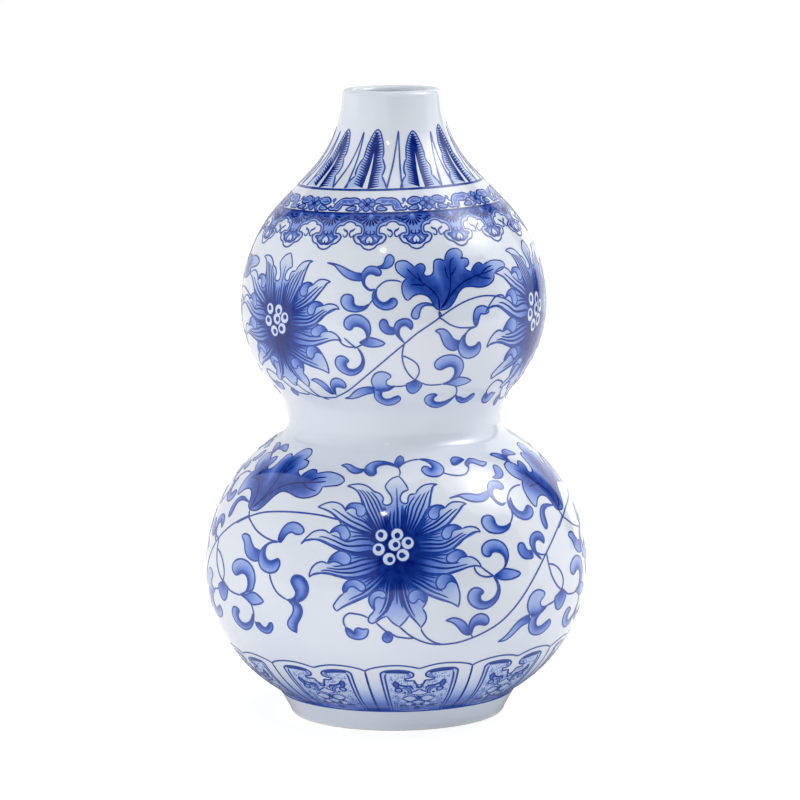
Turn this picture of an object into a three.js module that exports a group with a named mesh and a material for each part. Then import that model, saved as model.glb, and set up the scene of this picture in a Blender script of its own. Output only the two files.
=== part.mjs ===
// A double-gourd porcelain vase that stands on its foot ring, with its axis on +Z, in millimetres.
// It is put together as it is potted: a foot ring, two thrown bowls, two domes and a neck,
// luted to each other with rings of slip that are wiped flush outside and left as a low bead inside.
import * as THREE from "three";

// The whole vase
const HEIGHT = 205;
const WALL = 3.6;
const FLOOR = 5;
const LUTE = 0.6;
const LUTE_BEAD = 0.9;

// The foot ring, a little wider at the top than where it stands
const FOOT_HEIGHT = 7.4;
const FOOT_TOP_RADIUS = 37.4;
const FOOT_TAPER = 2.2;
const FOOT_RING_WIDTH = 5.6;
const FOOT_EDGE = 1.2;
const FOOT_COVE = 1.2;

// The lower bulb, the waist, the upper bulb and the mouth
const LOWER_BELLY_RADIUS = 62.5;
const LOWER_BELLY_HEIGHT = 48.4;
const WAIST_RADIUS = 34.9;
const WAIST_HEIGHT = 96.7;
const UPPER_BELLY_RADIUS = 49.7;
const UPPER_BELLY_HEIGHT = 135;
const NECK_JOINT_HEIGHT = 188;
const LIP_RADIUS = 15.9;

// How each swelling-to-hollow curve is shared: the bulging arc first, the hollow arc second.
// Shares that add up to less than 1 leave a straight cone between the two arcs.
const LOWER_DOME_SHARES = [0.9, 0.1];
const UPPER_BOWL_SHARES = [0.69, 0.31];
const UPPER_DOME_SHARES = [0.54, 0.425];

// Facets
const TURN_FACETS = 56;
const ARC_STEP = THREE.MathUtils.degToRad(10);

const SEAT_HEIGHT = FOOT_HEIGHT + LUTE;
const SEAT_RADIUS = FOOT_TOP_RADIUS + FOOT_COVE;
const FOOT_HOLLOW_RADIUS = FOOT_TOP_RADIUS - FOOT_TAPER - FOOT_RING_WIDTH;

// An arc of the wall about (r, z). A negative radius is hollow. Its angles are those of the wall's
// outward normal above the horizon, from the lower end of the arc to the upper one.
function arcPoints({ r, z, radius, from, to }, inset) {
  const steps = Math.max(2, Math.round(Math.abs(to - from) / ARC_STEP));
  const reach = radius - inset;
  return Array.from({ length: steps + 1 }, (_, i) => {
    const angle = from + ((to - from) * i) / steps;
    return new THREE.Vector2(r + reach * Math.cos(angle), z + reach * Math.sin(angle));
  });
}

// The two arcs between a belly and a narrower hollow above it (or below it), both upright at their ends.
function bellyToHollow(bellyRadius, bellyZ, hollowRadius, hollowZ, [bellyShare, hollowShare]) {
  const dr = bellyRadius - hollowRadius;
  const dz = Math.abs(hollowZ - bellyZ);
  const side = Math.sign(hollowZ - bellyZ);
  const whole = (dr * dr + dz * dz) / (2 * dr);
  const bulge = whole * bellyShare;
  const hollow = whole * hollowShare;
  const between = Math.hypot(bulge + hollow - dr, dz);
  const lean = Math.acos(Math.min(1, (bulge + hollow) / between));
  const turn = side * (Math.atan2(dz, bulge + hollow - dr) - lean);
  const bellyArc = { r: bellyRadius - bulge, z: bellyZ, radius: bulge, from: 0, to: turn };
  const hollowArc = { r: hollowRadius + hollow, z: hollowZ, radius: -hollow, from: turn, to: 0 };
  return side > 0 ? [bellyArc, hollowArc] : [hollowArc, bellyArc].map(reversed);
}

function reversed(arc) {
  return { ...arc, from: arc.to, to: arc.from };
}

// The arc of the lower bowl, upright at the belly and ending on the foot's seat.
function bowlToSeat() {
  const dr = LOWER_BELLY_RADIUS - SEAT_RADIUS;
  const dz = LOWER_BELLY_HEIGHT - SEAT_HEIGHT;
  const radius = (dr * dr + dz * dz) / (2 * dr);
  const from = -Math.asin(dz / radius);
  return { r: LOWER_BELLY_RADIUS - radius, z: LOWER_BELLY_HEIGHT, radius, from, to: 0 };
}

const WALL_ARCS = [
  bowlToSeat(),
  ...bellyToHollow(LOWER_BELLY_RADIUS, LOWER_BELLY_HEIGHT, WAIST_RADIUS, WAIST_HEIGHT, LOWER_DOME_SHARES),
  ...bellyToHollow(UPPER_BELLY_RADIUS, UPPER_BELLY_HEIGHT, WAIST_RADIUS, WAIST_HEIGHT, UPPER_BOWL_SHARES),
  ...bellyToHollow(UPPER_BELLY_RADIUS, UPPER_BELLY_HEIGHT, LIP_RADIUS, HEIGHT, UPPER_DOME_SHARES),
];
const OUTSIDE = WALL_ARCS.flatMap((arc) => arcPoints(arc, 0));
const INSIDE = WALL_ARCS.flatMap((arc) => arcPoints(arc, WALL));

// The stretch of a line that climbs from one height to another, with its ends cut level.
function stretch(line, low, high) {
  const inner = line.filter((p) => p.y > low + 1e-6 && p.y < high - 1e-6);
  return [levelPoint(line, low), ...inner, levelPoint(line, high)];
}

function levelPoint(line, height) {
  const next = Math.max(1, line.findIndex((p) => p.y >= height));
  const [a, b] = [line[next - 1], line[next]];
  const share = (height - a.y) / (b.y - a.y);
  return new THREE.Vector2(a.x + (b.x - a.x) * share, height);
}

// Points of a rounded edge about (r, z), from one angle to another.
function rounding(r, z, radius, from, to, steps) {
  return Array.from({ length: steps + 1 }, (_, i) => {
    const angle = from + ((to - from) * i) / steps;
    return new THREE.Vector2(r + radius * Math.cos(angle), z + radius * Math.sin(angle));
  });
}

const vase = new THREE.Group();
const glazedClay = new THREE.MeshStandardMaterial({ color: 0xd9dfe8, roughness: 0.15 });
const bareClay = new THREE.MeshStandardMaterial({ color: 0xe6dccb, roughness: 0.7 });
const slip = new THREE.MeshStandardMaterial({ color: 0xcfd6e0, roughness: 0.35 });

// Turns a profile about the axis. A profile that leaves the axis is closed on itself.
function turned(name, profile, material) {
  const onAxis = profile[0].x === 0;
  const outline = onAxis ? profile : [...profile, profile[0].clone()];
  const geometry = new THREE.LatheGeometry(outline, TURN_FACETS).rotateX(Math.PI / 2);
  const mesh = new THREE.Mesh(geometry, material);
  mesh.name = name;
  vase.add(mesh);
}

// A section of the wall between two joints: its outer face upwards, then its inner face back down.
function wallSection(name, low, high) {
  const outside = stretch(OUTSIDE, low, high);
  const inside = stretch(INSIDE, low, high).reverse();
  turned(name, [...outside, ...inside], glazedClay);
}

// A ring of slip about a joint: flush outside, with a low round bead inside.
function luteRing(name, height) {
  const [low, high] = [height - LUTE / 2, height + LUTE / 2];
  const outside = stretch(OUTSIDE, low, high);
  const [lowerEdge, upperEdge] = [levelPoint(INSIDE, low), levelPoint(INSIDE, high)];
  const bead = new THREE.Vector2((lowerEdge.x + upperEdge.x) / 2 - LUTE_BEAD, height);
  turned(name, [...outside, upperEdge, bead, lowerEdge], slip);
}

// The foot ring stands on a flat rim, bare of glaze, with both of its edges rounded off.
const standRadius = FOOT_TOP_RADIUS - FOOT_TAPER;
turned(
  "foot_ring",
  [
    ...rounding(FOOT_HOLLOW_RADIUS + FOOT_EDGE, FOOT_EDGE, FOOT_EDGE, Math.PI, 1.5 * Math.PI, 3),
    ...rounding(standRadius - FOOT_EDGE, FOOT_EDGE, FOOT_EDGE, 1.5 * Math.PI, 2 * Math.PI, 3),
    new THREE.Vector2(FOOT_TOP_RADIUS, FOOT_HEIGHT),
    new THREE.Vector2(FOOT_HOLLOW_RADIUS, FOOT_HEIGHT),
  ],
  bareClay,
);

// Slip between the foot ring and the bowl, wiped to a hollow cove outside and inside.
const coveMiddle = new THREE.Vector2(FOOT_TOP_RADIUS + FOOT_COVE * 0.3, FOOT_HEIGHT + LUTE * 0.55);
turned(
  "foot_lute",
  [
    new THREE.Vector2(FOOT_TOP_RADIUS, FOOT_HEIGHT),
    coveMiddle,
    new THREE.Vector2(SEAT_RADIUS, SEAT_HEIGHT),
    new THREE.Vector2(FOOT_HOLLOW_RADIUS - FOOT_COVE, SEAT_HEIGHT),
    new THREE.Vector2(FOOT_HOLLOW_RADIUS, FOOT_HEIGHT),
  ],
  slip,
);

// The lower bowl has a level seat below and a level floor inside.
const bowlRim = LOWER_BELLY_HEIGHT - LUTE / 2;
turned(
  "lower_bowl",
  [
    new THREE.Vector2(0, SEAT_HEIGHT),
    ...stretch(OUTSIDE, SEAT_HEIGHT, bowlRim),
    ...stretch(INSIDE, SEAT_HEIGHT + FLOOR, bowlRim).reverse(),
    new THREE.Vector2(0, SEAT_HEIGHT + FLOOR),
  ],
  glazedClay,
);

luteRing("lower_belly_lute", LOWER_BELLY_HEIGHT);
wallSection("lower_dome", LOWER_BELLY_HEIGHT + LUTE / 2, WAIST_HEIGHT - LUTE / 2);
luteRing("waist_lute", WAIST_HEIGHT);
wallSection("upper_bowl", WAIST_HEIGHT + LUTE / 2, UPPER_BELLY_HEIGHT - LUTE / 2);
luteRing("upper_belly_lute", UPPER_BELLY_HEIGHT);
wallSection("upper_dome", UPPER_BELLY_HEIGHT + LUTE / 2, NECK_JOINT_HEIGHT - LUTE / 2);
luteRing("neck_lute", NECK_JOINT_HEIGHT);

// The neck ends in a lip that is rounded over the whole thickness of the wall.
const neckFoot = NECK_JOINT_HEIGHT + LUTE / 2;
const lipHeight = HEIGHT - WALL / 2;
const lipMiddle = levelPoint(OUTSIDE, lipHeight).x - WALL / 2;
turned(
  "neck",
  [
    ...stretch(OUTSIDE, neckFoot, lipHeight),
    ...rounding(lipMiddle, lipHeight, WALL / 2, 0, Math.PI, 6).slice(1, -1),
    ...stretch(INSIDE, neckFoot, lipHeight).reverse(),
  ],
  glazedClay,
);

export default vase;
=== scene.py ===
import math

import bpy
import numpy as np
from mathutils import Matrix, Vector
from mathutils.geometry import delaunay_2d_cdt


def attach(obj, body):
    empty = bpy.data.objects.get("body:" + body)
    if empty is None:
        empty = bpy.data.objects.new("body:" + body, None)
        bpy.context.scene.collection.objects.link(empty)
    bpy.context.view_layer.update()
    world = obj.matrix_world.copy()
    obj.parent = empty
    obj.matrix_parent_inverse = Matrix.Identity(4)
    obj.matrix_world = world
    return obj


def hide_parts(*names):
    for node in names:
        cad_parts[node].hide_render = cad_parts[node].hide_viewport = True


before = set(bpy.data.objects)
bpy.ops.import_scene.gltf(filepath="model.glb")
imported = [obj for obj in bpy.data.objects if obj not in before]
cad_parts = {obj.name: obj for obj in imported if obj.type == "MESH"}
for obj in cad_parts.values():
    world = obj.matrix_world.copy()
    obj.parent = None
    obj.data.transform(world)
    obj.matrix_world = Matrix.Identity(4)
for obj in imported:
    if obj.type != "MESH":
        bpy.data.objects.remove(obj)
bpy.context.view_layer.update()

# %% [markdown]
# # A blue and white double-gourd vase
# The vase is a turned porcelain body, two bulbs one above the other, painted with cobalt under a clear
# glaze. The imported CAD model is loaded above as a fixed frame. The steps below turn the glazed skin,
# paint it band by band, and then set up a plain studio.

MM = 0.001
print("frame nodes:", sorted(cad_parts))

# %% [markdown]
# ## The line of the wall
# A potter sees the whole vase as one line from foot to lip: bulge, hollow, bulge, hollow. It could be a
# freehand spline, but the CAD model uses tangent arcs, and repeating those arcs puts the glazed skin
# exactly where the solids are. Each arc is kept as its centre, its radius and the angles of its normal.

# %% The arcs, from the seat on the foot to the lip
WALL = 3.6
SEAT, LOWER_BELLY, WAIST = (38.6, 8.0), (62.5, 48.4), (34.9, 96.7)
UPPER_BELLY, LIP = (49.7, 135.0), (15.9, 205.0)
LOWER_SHARES, UPPER_SHARES, NECK_SHARES = (0.9, 0.1), (0.69, 0.31), (0.54, 0.425)  # bulge, hollow


def swell_to_hollow(belly, hollow, belly_share, hollow_share):
    """The bulging and the hollow arc between a belly and a waist or lip, lower arc first."""
    dr, dz = belly[0] - hollow[0], abs(hollow[1] - belly[1])
    whole = (dr * dr + dz * dz) / (2 * dr)
    bulge, dip = whole * belly_share, whole * hollow_share
    lean = math.acos(min(1, (bulge + dip) / math.hypot(bulge + dip - dr, dz)))
    turn = math.copysign(math.atan2(dz, bulge + dip - dr) - lean, hollow[1] - belly[1])
    arcs = [(belly[0] - bulge, belly[1], bulge, 0, turn), (hollow[0] + dip, hollow[1], -dip, turn, 0)]
    return arcs if turn > 0 else [(r, z, q, b, a) for r, z, q, a, b in reversed(arcs)]


def seat_arc():
    """The arc from the seat on the foot ring up to the lower belly."""
    dr, dz = LOWER_BELLY[0] - SEAT[0], LOWER_BELLY[1] - SEAT[1]
    radius = (dr * dr + dz * dz) / (2 * dr)
    return (LOWER_BELLY[0] - radius, LOWER_BELLY[1], radius, -math.asin(dz / radius), 0)


ARCS = [seat_arc(),
        *swell_to_hollow(LOWER_BELLY, WAIST, *LOWER_SHARES),
        *swell_to_hollow(UPPER_BELLY, WAIST, *UPPER_SHARES),
        *swell_to_hollow(UPPER_BELLY, LIP, *NECK_SHARES)]
print("wall arcs:", len(ARCS), "smallest radius", round(min(abs(a[2]) for a in ARCS), 2), "mm")

# %% Points on the wall, by the length of clay from the seat


def wall_line(inset, steps=240):
    """Columns r, z and the outward normal (nr, nz) along the wall, inset from its outer face."""
    rows = []
    for r, z, radius, low, high in ARCS:
        angle = np.linspace(low, high, steps)
        reach = radius - inset
        normal = np.column_stack([np.cos(angle), np.sin(angle)])
        rows.append(np.hstack([np.array([r, z]) + reach * normal, normal]))
    return np.vstack(rows)


def length_along(line):
    """The length of a line up to each of its points."""
    return np.r_[0, np.cumsum(np.hypot(*np.diff(line, axis=0).T))]


OUTER, INNER = wall_line(0), wall_line(WALL)
ALONG = length_along(OUTER[:, :2])


def on_wall(s):
    """r, z, nr, nz of the outer wall at s millimetres of clay above the seat."""
    return [np.interp(s, ALONG, OUTER[:, k]) for k in range(4)]


def up_to(z):
    """How far up the wall a height is."""
    return float(np.interp(z, OUTER[:, 1], ALONG))


print("wall length", round(ALONG[-1], 1), "mm; waist at", round(up_to(WAIST[1]), 1))

# %% [markdown]
# ## The glaze
# Porcelain under a clear glaze is a faintly blue white with a wet, hard shine. A flat white would look
# like plastic, so the tint drifts a little where the glaze lies thicker, the gloss varies slightly and a
# very low bump gives the soft ripple that a dipped glaze keeps. All of it comes from noise nodes.

# %% Glaze over porcelain
THIN_GLAZE, THICK_GLAZE = (0.725, 0.762, 0.83, 1), (0.665, 0.715, 0.80, 1)
THIN_STOP, THICK_STOP, TINT_GRAIN = 0.35, 0.68, 22
GLAZE_IOR, GLOSSY, LESS_GLOSSY, GLOSS_GRAIN = 1.52, 0.05, 0.11, 60
RIPPLE, RIPPLE_DEPTH, RIPPLE_GRAIN = 0.12, 0.1 * MM, 140


def noise(tree, scale, detail=2.0):
    """A noise texture that sits still on the piece."""
    place = tree.nodes.new("ShaderNodeTexCoord")
    made = tree.nodes.new("ShaderNodeTexNoise")
    made.inputs["Scale"].default_value = scale
    made.inputs["Detail"].default_value = detail
    tree.links.new(place.outputs["Object"], made.inputs["Vector"])
    return made.outputs["Fac"]


def ramp(tree, source, stops):
    """A colour ramp from (position, colour) stops."""
    made = tree.nodes.new("ShaderNodeValToRGB")
    marks = made.color_ramp.elements
    while len(marks) < len(stops):
        marks.new(0.5)
    for mark, (position, colour) in zip(marks, stops):
        mark.position, mark.color = position, colour
    tree.links.new(source, made.inputs["Fac"])
    return made.outputs["Color"]


def spread(tree, value, low, high):
    """A value from 0 to 1 spread between two others."""
    made = tree.nodes.new("ShaderNodeMapRange")
    made.inputs["To Min"].default_value = low
    made.inputs["To Max"].default_value = high
    tree.links.new(value, made.inputs["Value"])
    return made.outputs["Result"]


def relief(tree, shader, height, strength, depth):
    """A fine bump on a surface."""
    made = tree.nodes.new("ShaderNodeBump")
    made.inputs["Strength"].default_value = strength
    made.inputs["Distance"].default_value = depth
    tree.links.new(height, made.inputs["Height"])
    tree.links.new(made.outputs["Normal"], shader.inputs["Normal"])


def glossy_coat(tree, shader):
    """The shine of the fired glaze: gloss that varies a little and a low ripple."""
    shader.inputs["IOR"].default_value = GLAZE_IOR
    gloss = spread(tree, noise(tree, GLOSS_GRAIN), GLOSSY, LESS_GLOSSY)
    tree.links.new(gloss, shader.inputs["Roughness"])
    relief(tree, shader, noise(tree, RIPPLE_GRAIN), RIPPLE, RIPPLE_DEPTH)


def porcelain_tint(tree):
    """The white of the body seen through thin and thick glaze."""
    stops = [(THIN_STOP, THIN_GLAZE), (THICK_STOP, THICK_GLAZE)]
    return ramp(tree, noise(tree, TINT_GRAIN, 3), stops)


def new_material(name):
    """A new material, its nodes and its shader."""
    made = bpy.data.materials.new(name)
    made.use_nodes = True
    return made, made.node_tree, made.node_tree.nodes["Principled BSDF"]


clear_glaze, tree, shader = new_material("clear_glaze_on_porcelain")
tree.links.new(porcelain_tint(tree), shader.inputs["Base Color"])
glossy_coat(tree, shader)
print("made", clear_glaze.name, "with", len(tree.nodes), "nodes")

# %% [markdown]
# ## Turning a section
# Every section of the body is a figure of revolution. The Screw modifier could turn it, but then a joint
# between two sections would show as a crease in the reflections. Here the rings are made directly, and
# the normals are taken from the arcs themselves, so light runs across a joint as if it were one skin.

# %% Runs of a profile


def straight(start, end):
    """A straight run of profile, with its outside on the right of the way it goes."""
    way = np.subtract(end, start) / math.dist(start, end)
    return np.array([[*start, way[1], -way[0]], [*end, way[1], -way[0]]])


def rounded(centre, radius, start, end, steps=8):
    """A rounded run of profile about a centre, between two angles in degrees."""
    angle = np.radians(np.linspace(start, end, steps + 1))
    normal = np.column_stack([np.cos(angle), np.sin(angle)])
    return np.hstack([np.array(centre) + abs(radius) * normal, math.copysign(1, radius) * normal])


def skin(s0, s1, step=0.9):
    """A run of the outer wall between two places."""
    return np.column_stack(on_wall(np.linspace(s0, s1, round((s1 - s0) / step) + 1)))


def lining(z0, z1, step=1.5):
    """A run of the inner wall from z0 down to z1, facing the hollow."""
    z = np.linspace(z0, z1, round((z0 - z1) / step) + 1)
    r, nr, nz = (np.interp(z, INNER[:, 1], INNER[:, k]) for k in (0, 2, 3))
    return np.column_stack([r, z, -nr, -nz])


print("the skin from the seat to the lip has", len(skin(0, ALONG[-1])), "rings")

# %% The wheel
TURN_STEPS = 288
WALL_SHARE = 0.8  # of the bake map, the rest is for the two flat ends
DISC_SIZE, LOW_DISC, HIGH_DISC = 0.09, (0.2, 0.9), (0.5, 0.9)  # the ends on the bake map


def wheel_faces(runs, closed):
    """Rings of the profile, and for each band between two rings its faces, normals and map places."""
    rings = np.vstack([runs[0][:1, :2], *(run[1:, :2] for run in runs)])[: -1 if closed else None]
    ends = np.vstack([np.hstack([run[:-1], run[1:]]) for run in runs])
    low = np.arange(len(ends))[:, None] * TURN_STEPS
    high = (np.arange(1, len(ends) + 1) % len(rings))[:, None] * TURN_STEPS
    k = np.arange(TURN_STEPS)
    after = (k + 1) % TURN_STEPS
    faces = np.stack([low + k, low + after, high + after, high + k], axis=2)
    angle = 2 * math.pi / TURN_STEPS * np.column_stack([k, k + 1, k + 1, k])
    nr, nz = ends[:, [2, 2, 6, 6]][:, None], ends[:, [3, 3, 7, 7]][:, None]
    normals = np.stack([nr * np.sin(angle), -nr * np.cos(angle), nz + 0 * angle], axis=3)
    v = np.r_[0, np.cumsum(np.hypot(ends[:, 4] - ends[:, 0], ends[:, 5] - ends[:, 1]))]
    v = WALL_SHARE * v / v[-1]
    u = angle / (2 * math.pi) + 0 * nr
    uvs = np.stack([u, np.column_stack([v[:-1], v[:-1], v[1:], v[1:]])[:, None] + 0 * u], axis=3)
    return rings, faces.reshape(-1, 4), normals.reshape(-1, 3), uvs.reshape(-1, 2)


def ride_glazed(piece, slot, *nodes):
    """Links a finished piece, which moves with the vase and stands for its CAD sections."""
    bpy.context.scene.collection.objects.link(piece)
    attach(piece, "root")
    if nodes:
        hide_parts(*nodes)
    return piece


def turn(name, runs, finish, closed=True):
    """A solid turned piece. An open profile gets a flat end below its first and above its last ring."""
    rings, faces, normals, uvs = wheel_faces(runs, closed)
    angle = np.linspace(0, 2 * math.pi, TURN_STEPS, endpoint=False)
    around = np.column_stack([np.sin(angle), -np.cos(angle)])
    points = [(*(r * way), z) for r, z in rings for way in around]
    faces = faces.tolist()
    if not closed:
        first, last = list(range(TURN_STEPS)), list(range(len(points) - TURN_STEPS, len(points)))
        faces += [first[::-1], last]
        normals = np.vstack([normals, [[0, 0, -1]] * TURN_STEPS, [[0, 0, 1]] * TURN_STEPS])
        discs = [DISC_SIZE * around[::-1] + LOW_DISC, DISC_SIZE * around + HIGH_DISC]
        uvs = np.vstack([uvs, *discs])
    mesh = bpy.data.meshes.new(name)
    mesh.from_pydata([Vector(p) * MM for p in points], [], faces)
    mesh.uv_layers.new(name="OFBake").data.foreach_set("uv", uvs.ravel())
    mesh.polygons.foreach_set("use_smooth", [True] * len(mesh.polygons))
    mesh.normals_split_custom_set(normals.tolist())
    mesh.materials.append(finish)
    print("turned", name, "with", len(mesh.polygons), "faces")
    return bpy.data.objects.new(name, mesh)


print("one turn of the wheel has", TURN_STEPS, "steps")

# %% [markdown]
# ## The four sections of the body
# On the wheel the vase is made as sections that are luted together: a foot ring, two bulbs and a neck.
# One long profile would be quicker, but keeping the sections apart lets each stand for its own CAD
# solids. They share the wall line, so the joints at the seat, the waist and the neck are flush.

# %% The foot and its cove
FOOT_TOP, FOOT_STAND, FOOT_EDGE = (38.6, 7.0), 35.4, 1.2
FOOT_HOLLOW = 29.6
HEEL_TURN = 49  # degrees of rounding, up to the bare rim
COVE_TOP, COVE_MIDDLE = 1.5, (38.95, 7.95)  # the joint's slip is wiped this far up the wall


def smooth(points, step=0.4):
    """A Catmull-Rom curve through the points, with a vertex about every step."""
    p = np.vstack([2 * points[0] - points[1], points, 2 * points[-1] - points[-2]])
    a, b, c, d = (p[i:len(p) - 3 + i, None] for i in range(4))
    t = np.linspace(0, 1, 8, endpoint=False)[:, None]
    bends = (c - a) * t + (2 * a - 5 * b + 4 * c - d) * t**2 + (3 * b - a - 3 * c + d) * t**3
    fine = np.vstack([(b + bends / 2).reshape(-1, 2), points[-1:]])
    along = length_along(fine)
    places = np.linspace(0, along[-1], max(2, round(along[-1] / step)) + 1)
    return np.column_stack([np.interp(places, along, fine[:, k]) for k in (0, 1)])


def left_of(line):
    """The unit step to the left at each point of a line."""
    way = np.gradient(line, axis=0)
    way /= np.maximum(np.linalg.norm(way, axis=1, keepdims=True), 1e-9)
    return np.column_stack([-way[:, 1], way[:, 0]])


def eased(points, steps=6):
    """A smooth run of profile through a few points, with its outside on the right."""
    line = smooth(np.array(points, float), math.dist(points[0], points[-1]) / steps)
    return np.column_stack([line, -left_of(line)])


heel = rounded((FOOT_STAND - FOOT_EDGE, FOOT_EDGE), FOOT_EDGE, -HEEL_TURN, 0)
inner_heel = rounded((FOOT_HOLLOW + FOOT_EDGE, FOOT_EDGE), FOOT_EDGE, 180, 180 + HEEL_TURN)
cove_end = on_wall(COVE_TOP)[:2]
cove = eased([FOOT_TOP, COVE_MIDDLE, cove_end])
ride_glazed(turn("glazed_foot", [
    heel,
    straight(heel[-1, :2], FOOT_TOP),
    cove,
    straight(cove_end, SEAT),
    straight(SEAT, (FOOT_HOLLOW, SEAT[1])),
    straight((FOOT_HOLLOW, SEAT[1]), inner_heel[0, :2]),
    inner_heel,
    straight(inner_heel[-1, :2], heel[0, :2]),
], clear_glaze), "glazed_porcelain", "foot_ring", "foot_lute")

# %% Bulbs and neck
FLOOR_TOP, NECK_JOINT = 13.0, 188.0
LIP_ROUND = WALL / 2

waist_s, neck_s, lip_s = up_to(WAIST[1]), up_to(NECK_JOINT), up_to(LIP[1] - LIP_ROUND)
lower_skin, lower_lining = skin(0, waist_s), lining(WAIST[1], FLOOR_TOP)
ride_glazed(turn("glazed_lower_bulb", [
    lower_skin,
    straight(lower_skin[-1, :2], lower_lining[0, :2]),
    lower_lining,
], clear_glaze, closed=False), "glazed_porcelain", "lower_bowl", "lower_belly_lute", "lower_dome")

upper_skin, upper_lining = skin(waist_s, neck_s), lining(NECK_JOINT, WAIST[1])
ride_glazed(turn("glazed_upper_bulb", [
    upper_skin,
    straight(upper_skin[-1, :2], upper_lining[0, :2]),
    upper_lining,
    straight(upper_lining[-1, :2], upper_skin[0, :2]),
], clear_glaze), "glazed_porcelain", "waist_lute", "upper_bowl", "upper_belly_lute", "upper_dome")

neck_skin, neck_lining = skin(neck_s, lip_s, 0.5), lining(LIP[1] - LIP_ROUND, NECK_JOINT, 0.8)
lip_centre = (neck_skin[-1, :2] + neck_lining[0, :2]) / 2
lip = rounded(lip_centre, LIP_ROUND, 0, 180, 14)
lip[0, :2], lip[-1, :2] = neck_skin[-1, :2], neck_lining[0, :2]
ride_glazed(turn("glazed_neck", [
    neck_skin,
    lip,
    neck_lining,
    straight(neck_lining[-1, :2], neck_skin[0, :2]),
], clear_glaze), "glazed_porcelain", "neck_lute", "neck")

# %% [markdown]
# ## The bare rim
# The rim that touches the kiln shelf is wiped clean of glaze, or the vase would stick to it. It could be
# a patch of another material on the foot, but a thin ring of its own shows the small step where the glaze
# stops. Bare porcelain is warm, dull and slightly gritty.

# %% Biscuit ring under the foot
DARK_BISCUIT, PALE_BISCUIT = (0.60, 0.55, 0.47, 1), (0.74, 0.70, 0.62, 1)
BISCUIT_GRAIN, BISCUIT_ROUGH = 900, 0.85
GRIT, GRIT_DEPTH, GRIT_GRAIN = 0.4, 0.1 * MM, 2500
RIM_GAP, RIM_EDGE = 0.1, 0.12

biscuit, tree, shader = new_material("bare_biscuit")
fired = ramp(tree, noise(tree, BISCUIT_GRAIN, 4), [(0.3, DARK_BISCUIT), (0.7, PALE_BISCUIT)])
tree.links.new(fired, shader.inputs["Base Color"])
shader.inputs["Roughness"].default_value = BISCUIT_ROUGH
relief(tree, shader, noise(tree, GRIT_GRAIN, 3), GRIT, GRIT_DEPTH)

rim_in, rim_out = inner_heel[-1, 0] + RIM_GAP, heel[0, 0] - RIM_GAP
rim_top = heel[0, 1]
ride_glazed(turn("bare_foot_rim", [
    straight((rim_in + RIM_EDGE, 0), (rim_out - RIM_EDGE, 0)),
    rounded((rim_out - RIM_EDGE, RIM_EDGE), RIM_EDGE, -90, 0, 4),
    straight((rim_out, RIM_EDGE), (rim_out, rim_top)),
    straight((rim_out, rim_top), (rim_in, rim_top)),
    straight((rim_in, rim_top), (rim_in, RIM_EDGE)),
    rounded((rim_in + RIM_EDGE, RIM_EDGE), RIM_EDGE, 180, 270, 4),
], biscuit), "bare_porcelain")

# %% [markdown]
# ## Cobalt
# The blue is cobalt painted on the raw body and covered by the same glaze, so a brush stroke has the
# gloss of the white beside it, and its colour depends only on how much ink lies there. Each painted
# point therefore carries one number, its ink, and a colour ramp turns that number into the stain that
# the porcelain's own white is multiplied with. A little noise lets the ink pool and thin as it does wet.

# %% Stain of the ink, from bare porcelain to the darkest pool
STAIN = [(0.0, (1, 1, 1, 1)), (0.2, (0.50, 0.62, 0.93, 1)), (0.4, (0.22, 0.35, 0.82, 1)),
         (0.6, (0.075, 0.165, 0.60, 1)), (0.8, (0.014, 0.062, 0.37, 1)), (1.0, (0.0, 0.009, 0.17, 1))]
POOL_GRAIN, POOL_SPREAD, POOL_LEAST = 420, 0.34, 0.83


def shade_of(tree, operation, *values):
    """A maths node on values that are each a socket or a number."""
    made = tree.nodes.new("ShaderNodeMath")
    made.operation = operation
    for socket, value in zip(made.inputs, values):
        if isinstance(value, (int, float)):
            socket.default_value = value
        else:
            tree.links.new(value, socket)
    return made.outputs[0]


cobalt, tree, shader = new_material("cobalt_under_glaze")
ink = tree.nodes.new("ShaderNodeAttribute")
ink.attribute_name = "ink"
pooling = shade_of(tree, "MULTIPLY_ADD", noise(tree, POOL_GRAIN, 3), POOL_SPREAD, POOL_LEAST)
stain = ramp(tree, shade_of(tree, "MULTIPLY", ink.outputs["Fac"], pooling), STAIN)
tinted = tree.nodes.new("ShaderNodeMix")
tinted.data_type, tinted.blend_type = "RGBA", "MULTIPLY"
tinted.inputs["Factor"].default_value = 1
tree.links.new(porcelain_tint(tree), tinted.inputs[6])  # the two colours of the mix are 6 and 7
tree.links.new(stain, tinted.inputs[7])
tree.links.new(tinted.outputs[2], shader.inputs["Base Color"])
glossy_coat(tree, shader)
print("made", cobalt.name, "with", len(STAIN), "steps of stain")

# %% [markdown]
# ## Brushes
# The painting is line work filled with washes. It could be a picture wrapped round the vase, but here
# every line and wash is a mesh of its own, so it stays sharp at any distance. The artwork is drawn flat,
# in millimetres round and up the wall, with a few points for each line as a painter would dot them out;
# a bar in a line marks a corner. The coats lie about a hundredth of a millimetre apart.

# %% Lines on flat paper


def runs_of(path):
    """The smooth runs of a line written as 'x,y x,y | x,y', where a bar is a corner."""
    if not isinstance(path, str):
        return path
    runs, last = [], []
    for part in path.split("|"):
        last = last[-1:] + [tuple(map(float, p.split(","))) for p in part.split()]
        runs.append(np.array(last))
    return runs


def outline(path, step=0.4):
    """The closed outline of a shape as one ring of points."""
    runs = runs_of(path)
    ring = np.vstack([smooth(run, step)[:-1] for run in runs])
    return ring if np.allclose(runs[0][0], runs[-1][-1]) else np.vstack([ring, runs[-1][-1:]])


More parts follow.
